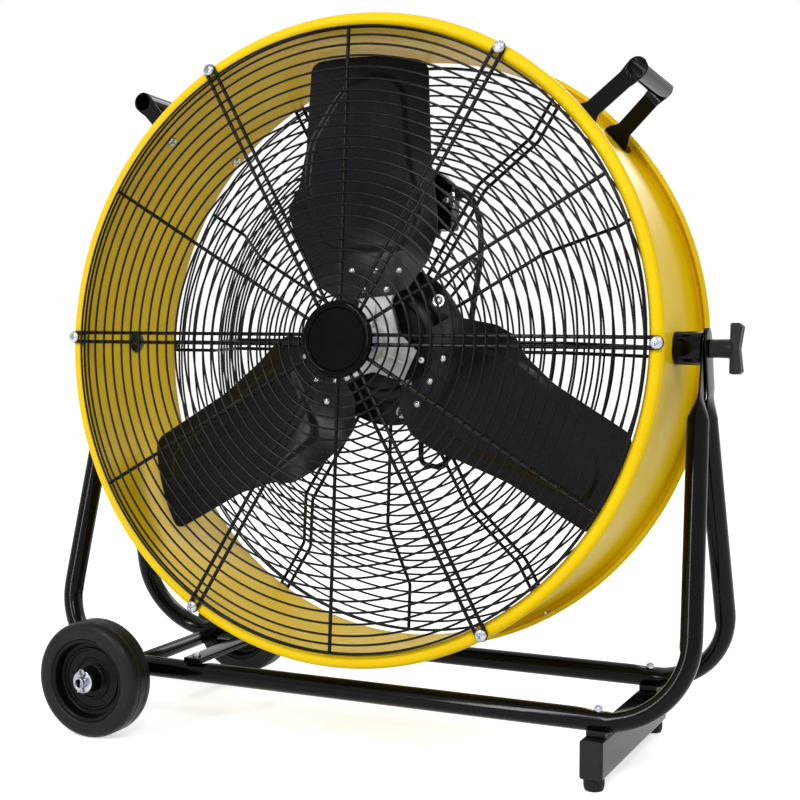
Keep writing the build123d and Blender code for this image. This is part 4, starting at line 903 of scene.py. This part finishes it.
BASE_SIDES = (-BASE_SPREAD, BASE_SPREAD)
bar_end = FOOT_BAR_HALF - 1
bar_form = box_tube(bar_outline(0, 2.6), bar_outline(FOOT_BAR_WALL, 1.0), -bar_end, bar_end)
piece("foot_bar_tube", [bar_form], "stand", "black_paint", "foot_bar", 40)
cradle_line = [(-10, BAR_TOP + 5.75), (-10, BAR_TOP), (10, BAR_TOP), (10, BAR_TOP + 5.75)]
cradle_line += arc((0, BASE_HEIGHT), TUBE_R, -48.6, -82.8, 12)
cradle_half = FOOT_BAR_WIDTH / 2 - FOOT_BAR_WALL
cradle = placed(prism(cradle_line, -cradle_half, cradle_half), SWAP_XY)
cradles = [placed(cradle, Matrix.Translation((FOOT_X, y, 0))) for y in BASE_SIDES]
piece("saddles", cradles, "stand", "black_plastic", "foot_bar_saddles", 40, 1.0, 3)
plugs = []
for side in (-1, 1):
    for outline, near, far in ((bar_outline(0.5, 2.2), 1, 0), (bar_outline(2.0, 1.2), 10, 0.5)):
        ends = sorted((side * (FOOT_BAR_HALF - near), side * (FOOT_BAR_HALF - far)))
        plugs.append(prism(outline, *ends))
piece("bar_end_plugs", plugs, "stand", "black_plastic", "foot_bar_plugs", 40, 0.4)

foot_profile = rounded(
    [(0, 0), (FOOT_R - 1.2, 0), (FOOT_R, FOOT_HEIGHT * 0.45), (FOOT_R, FOOT_HEIGHT), (0, FOOT_HEIGHT)],
    [0, 1.6, 3.0, 0.4, 0], 5,
)
feet = [
    placed(lathe(foot_profile, 48, closed=False), Matrix.Translation((FOOT_X, y, 0)) @ UPRIGHT)
    for y in (-FOOT_SPREAD, FOOT_SPREAD)
]
piece("feet", feet, "stand", "foot_rubber", "rubber_feet")

STRAP_TOP = TUBE_TOP + STRAP_THICKNESS
strap_section = rectangle(STRAP_X - STRAP_WIDTH / 2, STRAP_X + STRAP_WIDTH / 2, TUBE_TOP, STRAP_TOP)
strap_form = prism(rounded(strap_section, 0.9, 4), -STRAP_HALF, STRAP_HALF)
piece("strap", [strap_form], "stand", "black_paint", "cross_strap", 40, 0.5)
base_spots = [((FOOT_X, y, TUBE_TOP - NUT_SINK), (0, 0, 1)) for y in BASE_SIDES]
under_spots = [((FOOT_X, y, BAR_TOP - FOOT_BAR_WALL), (0, 0, -1)) for y in BASE_SIDES]
foot_nut = [
    hexagon(NUT_WIDTH, 0, NUT_HEIGHT), thread(BOLT_R, NUT_HEIGHT - 1, NUT_HEIGHT + BOLT_TAIL, 0.8),
    rod(BOLT_R, BAR_TOP - TUBE_TOP, 0.5),
]
nuts = seated(foot_nut, base_spots) + seated([hexagon(NUT_WIDTH, 0, BOLT_HEAD)], under_spots)
piece("foot_nuts", nuts, "stand", "zinc", "foot_bolts", 38)
strap_seats = [((STRAP_X, y, STRAP_TOP), (0, 0, 1)) for y in BASE_SIDES]
strap_screws = seated([hexagon(NUT_WIDTH, 0, BOLT_HEAD), rod(BOLT_R, -18, 0.5)], strap_seats)
piece("strap_screws", strap_screws, "stand", "zinc", "strap_bolts", 38)

# ---- Wheels ----

WHEEL_R, WHEEL_Y, TYRE_HALF = 62.5, 157.0, 18.0
RIM_R = 45.0
AXLE_X = -(STRAIGHT_END - 7.4)
groove = [(WHEEL_R, 4.6), (WHEEL_R - 0.9, 5.1), (WHEEL_R - 0.9, 5.9), (WHEEL_R, 6.4)]
tyre_half = [(RIM_R, 16.6), (46.2, 17.6), (47.6, TYRE_HALF), (51.0, 17.75), (54.2, TYRE_HALF)]
tyre_half += arc((54.5, 10.0), 8.0, 90, -82, 9) + groove[::-1]
hub_half = rounded(
    [(RIM_R, 15.8), (44.0, 16.6), (42.2, 16.6), (40.6, 15.4), (39.0, 4.5), (34.2, 4.5), (33.4, 6.4),
     (31.4, 6.4), (30.6, 4.5), (22.6, 4.5), (22.0, 6.0), (20.4, 6.0), (19.8, 4.5), (14.0, 4.5),
     (12.4, 7.0), (12.0, 20.0), (6.3, 20.0)],
    [0, 0.6, 0.5, 0.8, 2.0, 0.4, 0.4, 0.4, 0.4, 0.4, 0.4, 0.4, 0.4, 1.5, 1.0, 1.0, 0], 4, closed=False,
)
mould_lines = []
for angle in (-62, 48, 172):
    for side in (-1, 1):
        edge = sorted((side * 4.2, side * 5.1))
        mould_lines.append(spun(prism(rectangle(13.0, 39.5, -0.5, 0.5), *edge), -angle))
for name, side in (("front", -1), ("rear", 1)):
    spot = Matrix.Translation((AXLE_X, side * WHEEL_Y, WHEEL_R))
    piece(
        f"{name}_tread", [placed(lathe(two_sided(tyre_half), 128), spot)], f"{name}_wheel", "wheel_rubber",
        f"{name}_tyre", 40,
    )
    hub_forms = [placed(form, spot) for form in [lathe(two_sided(hub_half), 96)] + mould_lines]
    piece(f"{name}_hub", hub_forms, f"{name}_wheel", "wheel_plastic", f"{name}_wheel_hub", 40)

AXLE_R, AXLE_BORE_R, SLEEVE_R, WASHER_R = 6.0, 4.5, 8.0, 12.0
HUB_IN, HUB_OUT = WHEEL_Y - 20.0, WHEEL_Y + 20.0
PIN_Y = HUB_OUT + 0.3 + 2.0 + 1.6
axle_place = Matrix.Translation((AXLE_X, 0, WHEEL_R))


def axle_rings(inner, outer, spans):
    """Rings about the axle's middle line, one for each span of y."""
    outlines = [rounded(rectangle(inner, outer, low, high), 0.4, 3) for low, high in spans]
    return [placed(lathe(outline, 48), axle_place) for outline in outlines]


axle_end = PIN_Y + 5
axle_form = axle_rings(AXLE_BORE_R, AXLE_R, [(-axle_end, axle_end)])
piece("axle", axle_form, "stand", "zinc", "wheel_axle", 38)
tube_face = BASE_SPREAD + TUBE_R
sleeve_spans = [(TUBE_R - BASE_SPREAD, BASE_SPREAD - TUBE_R)]
sleeve_spans += [(tube_face, HUB_IN - 2.3), (2.3 - HUB_IN, -tube_face)]
sleeves = axle_rings(AXLE_R + 0.1, SLEEVE_R, sleeve_spans)
piece("sleeves", sleeves, "stand", "black_paint", "axle_sleeves", 38)
washer_spans = [(HUB_IN - 2.3, HUB_IN - 0.3), (HUB_OUT + 0.3, HUB_OUT + 2.3)]
washer_spans += [(-high, -low) for low, high in washer_spans]
washers = axle_rings(AXLE_R + 0.1, WASHER_R, washer_spans)
piece("washers", washers, "stand", "zinc", "axle_washers", 38)

pins = []
for side in (-1, 1):
    centre = Vector((AXLE_X, side * PIN_Y, WHEEL_R))
    eye = [(3.4 * sin(radians(t)), 10.2 - 3.4 * cos(radians(t))) for t in range(20, 341, 20)]
    track = [(1.2, -11.5), (0.7, -7.5), (0.7, 6.5)] + eye
    track += [(-0.7, 6.5), (-0.7, -7.0), (-1.8, -9.5), (-5.0, -10.6)]
    pins.append(wire_along([centre + Vector((x, 0, z)) for x, z in track], 0.85, 8))
piece("cotter_pins", pins, "stand", "zinc", "split_pins")

# ---- Handles ----

HANDLE_ANGLE = 43.2
GRIP_AXIS, GRIP_R, GRIP_WALL, GRIP_HALF = 394.5, 11.0, 1.9, 49.2
HANDLE_FOOT, HANDLE_SHEET, FOOT_END = 58.0, 2.5, 82.0
LEG_HALF, FLANGE_HALF, LEG_FLARE = 9.0, 16.0, 14.0
HANDLE_SCREW_Y, FOOT_ROUND = 68.0, 7.0


def flare_rise(y):
    """Rise of the drum's wall over its straight radius at y."""
    past = max(0.0, y - FLARE_START)
    return FLARE_RADIUS - sqrt(FLARE_RADIUS**2 - past**2)


def handle_leg(side):
    """Bent strip from its foot on the wall up to the grip."""
    skin_x = WALL_R + HANDLE_SHEET / 2
    foot_y = [FOOT_END - 2.0 * k for k in range(12)]
    foot = [(skin_x + (flare_rise(y) if side > 0 else 0.0), y) for y in foot_y if y > HANDLE_FOOT + 4]
    top = Vector((GRIP_AXIS - GRIP_R + 1.2, GRIP_HALF - 1.4))
    bend = rounded([foot[-1], (skin_x, HANDLE_FOOT), top], [0, 5.0, 0], 6, closed=False)
    path = divided([Vector(p) for p in foot[:-1]] + bend, 2.0)
    rows = []
    for spot, along in zip(path, tangents(path)):
        normal = Vector((along.y, -along.x)) * (HANDLE_SHEET / 2)
        from_end = FOOT_END - spot.y
        half = FLANGE_HALF
        if from_end < FOOT_ROUND and spot.x < skin_x + 4:
            short = FOOT_ROUND - from_end
            half = FLANGE_HALF - FOOT_ROUND + sqrt(max(0.0, FOOT_ROUND**2 - short**2))
        rise = spot.x - skin_x - 2.0
        if rise > 0 and spot.y < HANDLE_FOOT + 1:
            half = LEG_HALF + (FLANGE_HALF - LEG_HALF) * float(ease(np.array(1 - rise / LEG_FLARE)))
        across = [half * (k / 4 - 1) for k in range(9)]
        sag = [spot.x - sqrt(spot.x**2 - z * z) if rise < 3 else 0.0 for z in across]
        outer = [(spot.x + normal.x - d, side * (spot.y + normal.y), z) for z, d in zip(across, sag)]
        inner = [(spot.x - normal.x - d, side * (spot.y - normal.y), z) for z, d in zip(across, sag)]
        rows.append(outer + inner[::-1])
    return loft(rows, caps=True)


def grip():
    """Sheet rolled into a tube, with its seam towards the drum."""
    rows = []
    for y in (-GRIP_HALF, GRIP_HALF):
        outer = arc((GRIP_AXIS, 0), GRIP_R, 188, 344, 60)
        inner = arc((GRIP_AXIS, 0), GRIP_R - GRIP_WALL, 532, -344, 60)
        rows.append([(x, y, z) for x, z in outer + inner])
    return loft(rows, caps=True)


def grip_web(side):
    """End of a leg, shaped round the grip."""
    near, far = sorted((side * (GRIP_HALF - 2.6), side * (GRIP_HALF - 0.3)))
    web = [(-17.0, -LEG_HALF), (-3.0, -11.0)] + arc((0, 0), 10.4, 254, -148, 14)
    web += [(-3.0, 11.0), (-17.0, LEG_HALF)]
    return placed(prism(web, near, far), Matrix.Translation((GRIP_AXIS, 0, 0)))


handle_forms = [handle_leg(-1), handle_leg(1), grip_web(-1), grip_web(1), grip()]
nut_seat = WALL_R + HANDLE_SHEET
fixings = []
for name, turn in (("right", -HANDLE_ANGLE), ("left", HANDLE_ANGLE - 180)):
    piece(
        f"{name}_carry_handle", [spun(form, turn) for form in handle_forms], "drum", "black_paint",
        f"handle_{name}", crease=40, bevel=0.5,
    )
    for y in (-HANDLE_SCREW_Y, HANDLE_SCREW_Y):
        lift = flare_rise(y) if y > 0 else 0.0
        head = placed(pan_head(5.6, 3.4), facing((BORE_R, y, 0), (-1, 0, 0)))
        shank = placed(rod(3.0, 0, nut_seat - BORE_R + 7.5), facing((BORE_R, y, 0), (1, 0, 0)))
        nut = placed(hexagon(10, 0, 5), facing((nut_seat + lift, y, 0), (1, 0, 0)))
        fixings += [spun(form, turn) for form in (head, shank, nut)]
piece("handle_fixings", fixings, "drum", "zinc", "handle_screws", crease=38)

# ---- Pivots and T-knobs ----

BOLT_SEAT = sqrt(BORE_R**2 - 12.5**2) - 0.1
boss_line = rounded(rectangle(5.1, 16.7, BORE_R + 0.4, WALL_R + 27.6), [0, 0, 1.0, 0.4], 4)
boss = placed(lathe(boss_line, 64), LENGTHWAYS)
bolt_head = [(0, BOLT_SEAT), (12.5, BOLT_SEAT), (12.5, BOLT_SEAT - 1.2), (9.5, BOLT_SEAT - 3.9),
             (5.0, BOLT_SEAT - 5.0), (0, BOLT_SEAT - 5.0)]
bolt_head = rounded(bolt_head, [0, 0.3, 1, 5, 4, 0], 5, closed=False)
bolt_forms = [
    placed(lathe(bolt_head, 48, closed=False), LENGTHWAYS),
    placed(rod(5.0, BOLT_SEAT - 0.5, 369.1), facing((0, 0, 0), (1, 0, 0))),
]
SIDES = (("right", Matrix.Identity(4)), ("left", MIRROR_X))
piece("drum_bosses", [boss, placed(boss, MIRROR_X)], "drum", "black_paint", "pivot_bosses", crease=38)
for name, matrix in SIDES:
    piece(
        f"{name}_pivot_screw", [placed(form, matrix) for form in bolt_forms], "drum", "motor_black",
        f"pivot_bolt_{name}", crease=38,
    )

KNOB_X = TAB_X + 2 * TAB_THICKNESS + 0.3
BAR_X = KNOB_X + 20.2
KNOB_END, KNOB_HALF, KNOB_WIDTH = 388.1, 25.0, 7.0


def knob_forms():
    """Stem and cross bar of the knob on the right."""
    outline = [
        (KNOB_END - 3, -KNOB_HALF), (BAR_X + 1.4, -KNOB_HALF), (BAR_X, 1.4 - KNOB_HALF),
        (BAR_X, KNOB_HALF - 1.4), (BAR_X + 1.4, KNOB_HALF), (KNOB_END - 3, KNOB_HALF),
        (KNOB_END, KNOB_HALF - 3), (KNOB_END - 3, 0), (KNOB_END, 3 - KNOB_HALF),
    ]
    bar = prism(outline, -KNOB_WIDTH, KNOB_WIDTH)
    stem = ((KNOB_X, 8.6), (KNOB_X + 0.8, 9.3), (KNOB_X + 5, 8.9), (BAR_X - 3, 9.2), (BAR_X + 2, 9.9))
    ribs = [1 + 0.022 * max(0.0, cos(8 * 2 * pi * k / 64)) for k in range(64)]
    turns = list(zip(ribs, circle(1, 64)))
    rows = [[(x, size * rib * y, size * rib * z) for rib, (y, z) in turns] for x, size in stem]
    return [bar, loft(rows, caps=True)]


for name, matrix in SIDES:
    piece(
        f"{name}_t_knob", [placed(form, matrix) for form in knob_forms()], f"{name}_knob",
        "black_plastic", f"knob_{name}", crease=38, bevel=1.0, steps=3,
    )

# ---- Hub ----

SPIDER_FRONT = BLADE_Y + BLADE_SHEET / 2
SPIDER_BACK = SPIDER_FRONT + 4.5
BOSS_FRONT = -36.0
RIVETS = ((-28, 78), (0, 78), (28, 78), (-14, 58), (14, 58))


def dome(radius, height):
    """Rounded rivet head, seated on the origin and rising along Z."""
    turns = [share * pi / 2 for share in (0.0, 0.12, 0.3, 0.5, 0.7, 0.86, 0.97)]
    return loft([circle_points(radius * cos(t), height * sin(t), 32) for t in turns], caps=True)


lobe_line = [(18, 47), (37, 73), (37, 85), (-37, 85), (-37, 73), (-18, 47), (-26, 15)]
spider_line = []
for k in range(3):
    turn = radians(120 * k)
    spider_line += [(x * cos(turn) - z * sin(turn), x * sin(turn) + z * cos(turn)) for x, z in lobe_line]
spider_line = rounded(spider_line, [14, 8, 7, 7, 8, 14, 10] * 3, 6)
boss_profile = rounded(
    [(7.5, BOSS_FRONT), (16.8, BOSS_FRONT), (17.6, -25), (24, SPIDER_FRONT - 0.2), (24, SPIDER_BACK + 0.2),
     (18, -15), (17.4, 0), (7.5, 0)],
    [0.4, 1.6, 4, 1, 1, 4, 1.6, 0.4], 5,
)
rib_line = [(-33, 15), (SPIDER_FRONT + 0.3, 15), (SPIDER_FRONT + 0.3, 44)]
spider_rib = placed(prism(rib_line, -1.7, 1.7), SWAP_XY)
spider_forms = [prism(spider_line, SPIDER_FRONT, SPIDER_BACK), lathe(boss_profile)]
spider_forms += [spun(spider_rib, 120 * k) for k in range(3)]
piece("spider", spider_forms, "rotor", "cast_grey", "hub_spider", crease=38, bevel=0.8, steps=3)

rivet_faces = ((SPIDER_FRONT - BLADE_SHEET, -1), (SPIDER_BACK, 1))
rivet_spots = [((x, y, z), (0, way, 0)) for x, z in RIVETS for y, way in rivet_faces]
rivet_forms = seated([dome(4.0, 2.4)], rivet_spots)
every_rivet = [spun(form, 120 * k) for k in range(3) for form in rivet_forms]
piece("rivets", every_rivet, "rotor", "zinc", "blade_rivets", crease=45)

nut_place = facing((0, BOSS_FRONT, 0), (0, -1, 0))
piece("shaft_nut", [placed(hexagon(19, 0, 10, 1.3), nut_place)], "rotor", "zinc", "hub_nut", crease=38)
shaft_forms = [placed(thread(6.0, -2, 13.6, 1.75), nut_place), placed(rod(7.5, -119, 0, 0.6), nut_place)]
piece("shaft", shaft_forms, "rotor", "steel", "motor_shaft", crease=38)

# ---- Motor ----

MOTOR_R, MOTOR_FRONT, MOTOR_REAR = 62.0, 4.0, 86.0
PLATE_FRONT, PLATE_BACK, BARREL_REAR = 22.5, 25.0, 70.0
PLATE_R, PLATE_WASHER = 87.5, 1.2
TIE_CIRCLE, TIE_ANGLE, EAR_R = 67.0, 27.0, 6.0
TIE_FRONT, TIE_REAR = 19.5, 73.0
BELL_BORE, BELL_INNER, PLATE_HOLE = 8.5, 59.0, 57.0


def ears(low, high):
    """Four lugs for the tie bolts, standing out from a bell."""
    forms = []
    for k in range(4):
        round_end = placed(rod(EAR_R, 0, high - low), facing((TIE_CIRCLE, low, 0), (0, 1, 0)))
        web = prism(rectangle(BELL_INNER - 2, TIE_CIRCLE, -EAR_R, EAR_R), low, high)
        forms += [spun(form, -TIE_ANGLE - 90 * k) for form in (round_end, web)]
    return forms


def bell(face, dish, dish_from, dish_to, inside, rim):
    """End bell from its dished face to its rim on the plate or barrel."""
    corners = [(BELL_BORE, face), (dish_from, face), (dish_from + 2, dish), (dish_to, dish)]
    corners += [(dish_to + 3, face), (MOTOR_R, face), (MOTOR_R, rim), (BELL_INNER, rim)]
    corners += [(BELL_INNER, inside), (BELL_BORE, inside)]
    return lathe(rounded(corners, [0.5, 1, 1.5, 1.5, 1, 6, 0.4, 0.4, 1, 0], 5))


front_forms = [bell(MOTOR_FRONT, 6, 22, 48, 8, PLATE_FRONT)] + ears(TIE_FRONT, PLATE_FRONT)
piece("front_bell", front_forms, "drum", "motor_black", "motor_front_bell", 40)
bell_ribs = [spun(prism(rectangle(21, 51.5, -1.3, 1.3), 83.2, 85.3), 30 * k) for k in range(12)]
rear_forms = [bell(MOTOR_REAR, 83.4, 20, 50, 81.5, BARREL_REAR)] + bell_ribs + ears(BARREL_REAR, TIE_REAR)
piece("rear_bell", rear_forms, "drum", "motor_black", "motor_rear_bell", 40, 0.4)
barrel = [(60, PLATE_BACK), (MOTOR_R, PLATE_BACK)]
for middle in (31.0, 64.0):
    barrel += [(MOTOR_R, middle - 1.4), (61.2, middle - 0.7), (61.2, middle + 0.7), (MOTOR_R, middle + 1.4)]
barrel += [(MOTOR_R, BARREL_REAR), (60, BARREL_REAR)]
piece("barrel", [lathe(barrel, 128)], "drum", "motor_black", "motor_barrel", crease=50)
plate_bead = ring(PLATE_R - 5, PLATE_FRONT - 0.2, 1.1)
plate_forms = [pierced_ring(PLATE_HOLE, PLATE_R, PLATE_FRONT, PLATE_BACK), plate_bead]
piece("plate", plate_forms, "drum", "motor_black", "motor_plate", crease=40)
lifted_head = placed(pan_head(4.75, 3.0), Matrix.Translation((0, 0, PLATE_WASHER)))
plate_seats = polar_spots(PLATE_CIRCLE, PLATE_FRONT, 3, PLATE_ANGLE, -1)
plate_screws = seated([rod(7.0, 0, PLATE_WASHER), lifted_head, rod(2.5, -11, 0.2)], plate_seats)
piece("plate_screws", plate_screws, "drum", "zinc", "motor_plate_screws", 38)
tie_bolt = (pan_head(4.75, 3.0), rod(2.5, -56.5, 0.2))
tie_forms = seated(tie_bolt, polar_spots(TIE_CIRCLE, TIE_FRONT, 4, TIE_ANGLE, -1))
tie_forms += seated([hexagon(8, 0, 4)], polar_spots(TIE_CIRCLE, TIE_REAR, 4, TIE_ANGLE, 1))
piece("tie_bolts", tie_forms, "drum", "motor_black", "motor_bolts", crease=38)

# ---- Switch box, lead and cord hook ----

BOX_LEFT, BOX_RIGHT, BOX_BOTTOM, BOX_TOP, BOX_CORNER = 14.0, 62.0, 128.0, 192.0, 17.0
BOX_FRONT, BOX_REAR, LID_REAR = 33.9, 53.9, 56.4
BOX_X, BOX_Z = (BOX_LEFT + BOX_RIGHT) / 2, (BOX_BOTTOM + BOX_TOP) / 2
LEAD_Y, LEAD_R, LEAD_EXIT = 45.0, 3.3, 167.5
BOOT_R, BOOT_END = 4.4, 154.5
LEAD_ROUTE = (
    (69, LEAD_EXIT), (76, LEAD_EXIT), (87.5, 150), (92, 127), (93.3, 105), (91, 80), (86.5, 50),
    (84, 28), (84, 10), (78, 0), (69, 0),
)


def box_line(inset, radius):
    """Outline of the switch box with its slanted corner, drawn in by inset."""
    left, right, low, top = BOX_LEFT + inset, BOX_RIGHT - inset, BOX_BOTTOM + inset, BOX_TOP - inset
    corners = [(left, low), (right, low), (right, BOX_TOP - BOX_CORNER)]
    corners += [(BOX_RIGHT - BOX_CORNER, top), (left, top)]
    return rounded(corners, radius, 4)


piece(
    "switch_housing", [prism(box_line(0, 3), BOX_FRONT, BOX_REAR)], "drum", "black_plastic",
    "switch_box", crease=38, bevel=0.6,
)
piece(
    "switch_cover", [prism(box_line(0.3, 3), BOX_REAR + 0.2, LID_REAR)], "drum", "black_plastic",
    "switch_box_lid", crease=38, bevel=0.8, steps=3,
)
piece(
    "switch_bracket", [prism(box_line(0, 1.5), BOX_FRONT - 1.5, BOX_FRONT)], "drum", "black_paint",
    "box_bracket", crease=38, bevel=0.3,
)
lid_seats = [((x, LID_REAR, z), (0, 1, 0)) for x, z in ((20, 134), (56, 134), (20, 186))]
box_screws = seated((pan_head(4, 2), rod(2, -9, 0.2)), lid_seats)
clamp_face = BOX_FRONT - 2.5
clamp_line = rounded(rectangle(50, 66, 150.8, 167.8), 1.5, 4)
box_screws.append(prism(clamp_line, clamp_face, clamp_face + 1.0))
box_screws += seated((pan_head(3.6, 2), rod(2, -6, 0.2)), [((56, clamp_face, 159.3), (0, -1, 0))])
piece("cover_screws", box_screws, "drum", "zinc", "switch_box_screws", crease=38)

knob_skirt = [(0, 56.7), (15, 56.7), (15, 58.4), (14.0, 63.7), (0, 63.7)]
knob_skirt = rounded(knob_skirt, [0, 0.4, 0.8, 1.2, 0], 4, closed=False)
grip_line = arc((0, 11.2), 3.5, 0, 180, 10) + arc((0, -11.2), 3.5, 180, 180, 10)
knob_spot = Matrix.Translation((BOX_X, 0, BOX_Z))
dial = (lathe(knob_skirt, 64, closed=False), prism(grip_line, 63.5, 70.7))
dial_forms = [placed(form, knob_spot) for form in dial]
piece("dial", dial_forms, "speed_switch", "black_plastic", "switch_knob", crease=38, bevel=0.9, steps=3)

lead_curve = bpy.data.curves.new("lead", "CURVE")
lead_curve.dimensions = "3D"
lead_curve.resolution_u = 12
lead_line = lead_curve.splines.new("NURBS")
lead_line.points.add(len(LEAD_ROUTE) - 1)
for point, (x, z) in zip(lead_line.points, LEAD_ROUTE):
    point.co = (*(DRUM @ (Vector((x, LEAD_Y, z)) * MM)), 1.0)
lead_line.order_u = 3
lead_line.use_endpoint_u = True
lead_curve.materials.append(materials["lead_rubber"])
lead = bpy.data.objects.new("lead", lead_curve)
scene.collection.objects.link(lead)
drum_frame = DRUM.inverted()
lead_middle = [drum_frame @ vertex.co / MM for vertex in bpy.data.meshes.new_from_object(lead).vertices]
lead_curve.bevel_depth = LEAD_R * MM
lead_curve.bevel_resolution = 6
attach(lead, "drum")
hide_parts("motor_lead")

gland_line = [(3.4, 0), (6.4, 2.4), (6.4, 5.0), (5.4, 6.6), (4.4, 7.0), (3.4, 7.0)]
gland_forms = [hexagon(12, -0.8, 2.6, 0.5), placed(lathe(gland_line, 40), UPRIGHT)]
gland_spots = (
    ((BOX_RIGHT, LEAD_Y, LEAD_EXIT), (1, 0, 0)), ((MOTOR_R, LEAD_Y, 0), (1, 0, 0)),
    ((BOX_X, LEAD_Y, BOX_BOTTOM), (0, 0, -1)),
)
glands = seated(gland_forms, gland_spots)
boot_line = [Vector((BOX_RIGHT + 5, LEAD_Y, LEAD_EXIT))]
boot_line += [spot for spot in lead_middle if spot.z > BOOT_END]
glands.append(wire_along(boot_line, BOOT_R, 16))
piece("glands", glands, "drum", "black_plastic", "cable_glands", crease=38)

CLIP_X, CLIP_Z, CLIP_HALF = 92.2, 93.0, 2.5
CLIP_WIRE_R, CLIP_WIRE_Y, CLIP_LOOP_R, CLIP_REACH, CLIP_ANGLE = 1.7, 26.8, 6.0, 54.0, 48.0
clip_ring = rounded(rectangle(LEAD_R, LEAD_R + 1.6, -CLIP_HALF, CLIP_HALF), 0.5, 3)
clip_post = rectangle(CLIP_X - CLIP_WIRE_R, CLIP_X + CLIP_WIRE_R, CLIP_Z - CLIP_HALF, CLIP_Z + CLIP_HALF)
clip_middle = Matrix.Translation((CLIP_X, LEAD_Y, CLIP_Z)) @ UPRIGHT
loop_turn = Matrix.Rotation(radians(CLIP_ANGLE), 2)
loop_foot = Vector((PLATE_CIRCLE * cos(radians(PLATE_ANGLE)), PLATE_CIRCLE * sin(radians(PLATE_ANGLE))))
loop_line = arc((CLIP_REACH, 0), CLIP_LOOP_R, -90, 180, 12) + arc((0, 0), CLIP_LOOP_R, 90, 180, 12)
loop_line = [loop_foot + loop_turn @ Vector(p) for p in loop_line]
clip_forms = [
    placed(lathe(clip_ring, 40), clip_middle), prism(clip_post, CLIP_WIRE_Y, 41.4),
    wire_along([(p.x, CLIP_WIRE_Y, p.y) for p in loop_line], CLIP_WIRE_R, 12, closed=True),
]
piece("p_clip", clip_forms, "drum", "black_wire", "lead_clip", crease=50)

HOOK_Y, HOOK_R = 34.4, 3.0
hook_line = rounded([(34, -100), (34, -128), (62, -132), (70, -106)], [0, 9, 9, 0], 8, closed=False)
hook_path = [(p.x, HOOK_Y, p.y) for p in hook_line]
piece("hook", [wire_along(hook_path, HOOK_R, 16)], "drum", "black_paint", "cord_hook", crease=60, bevel=0.6)
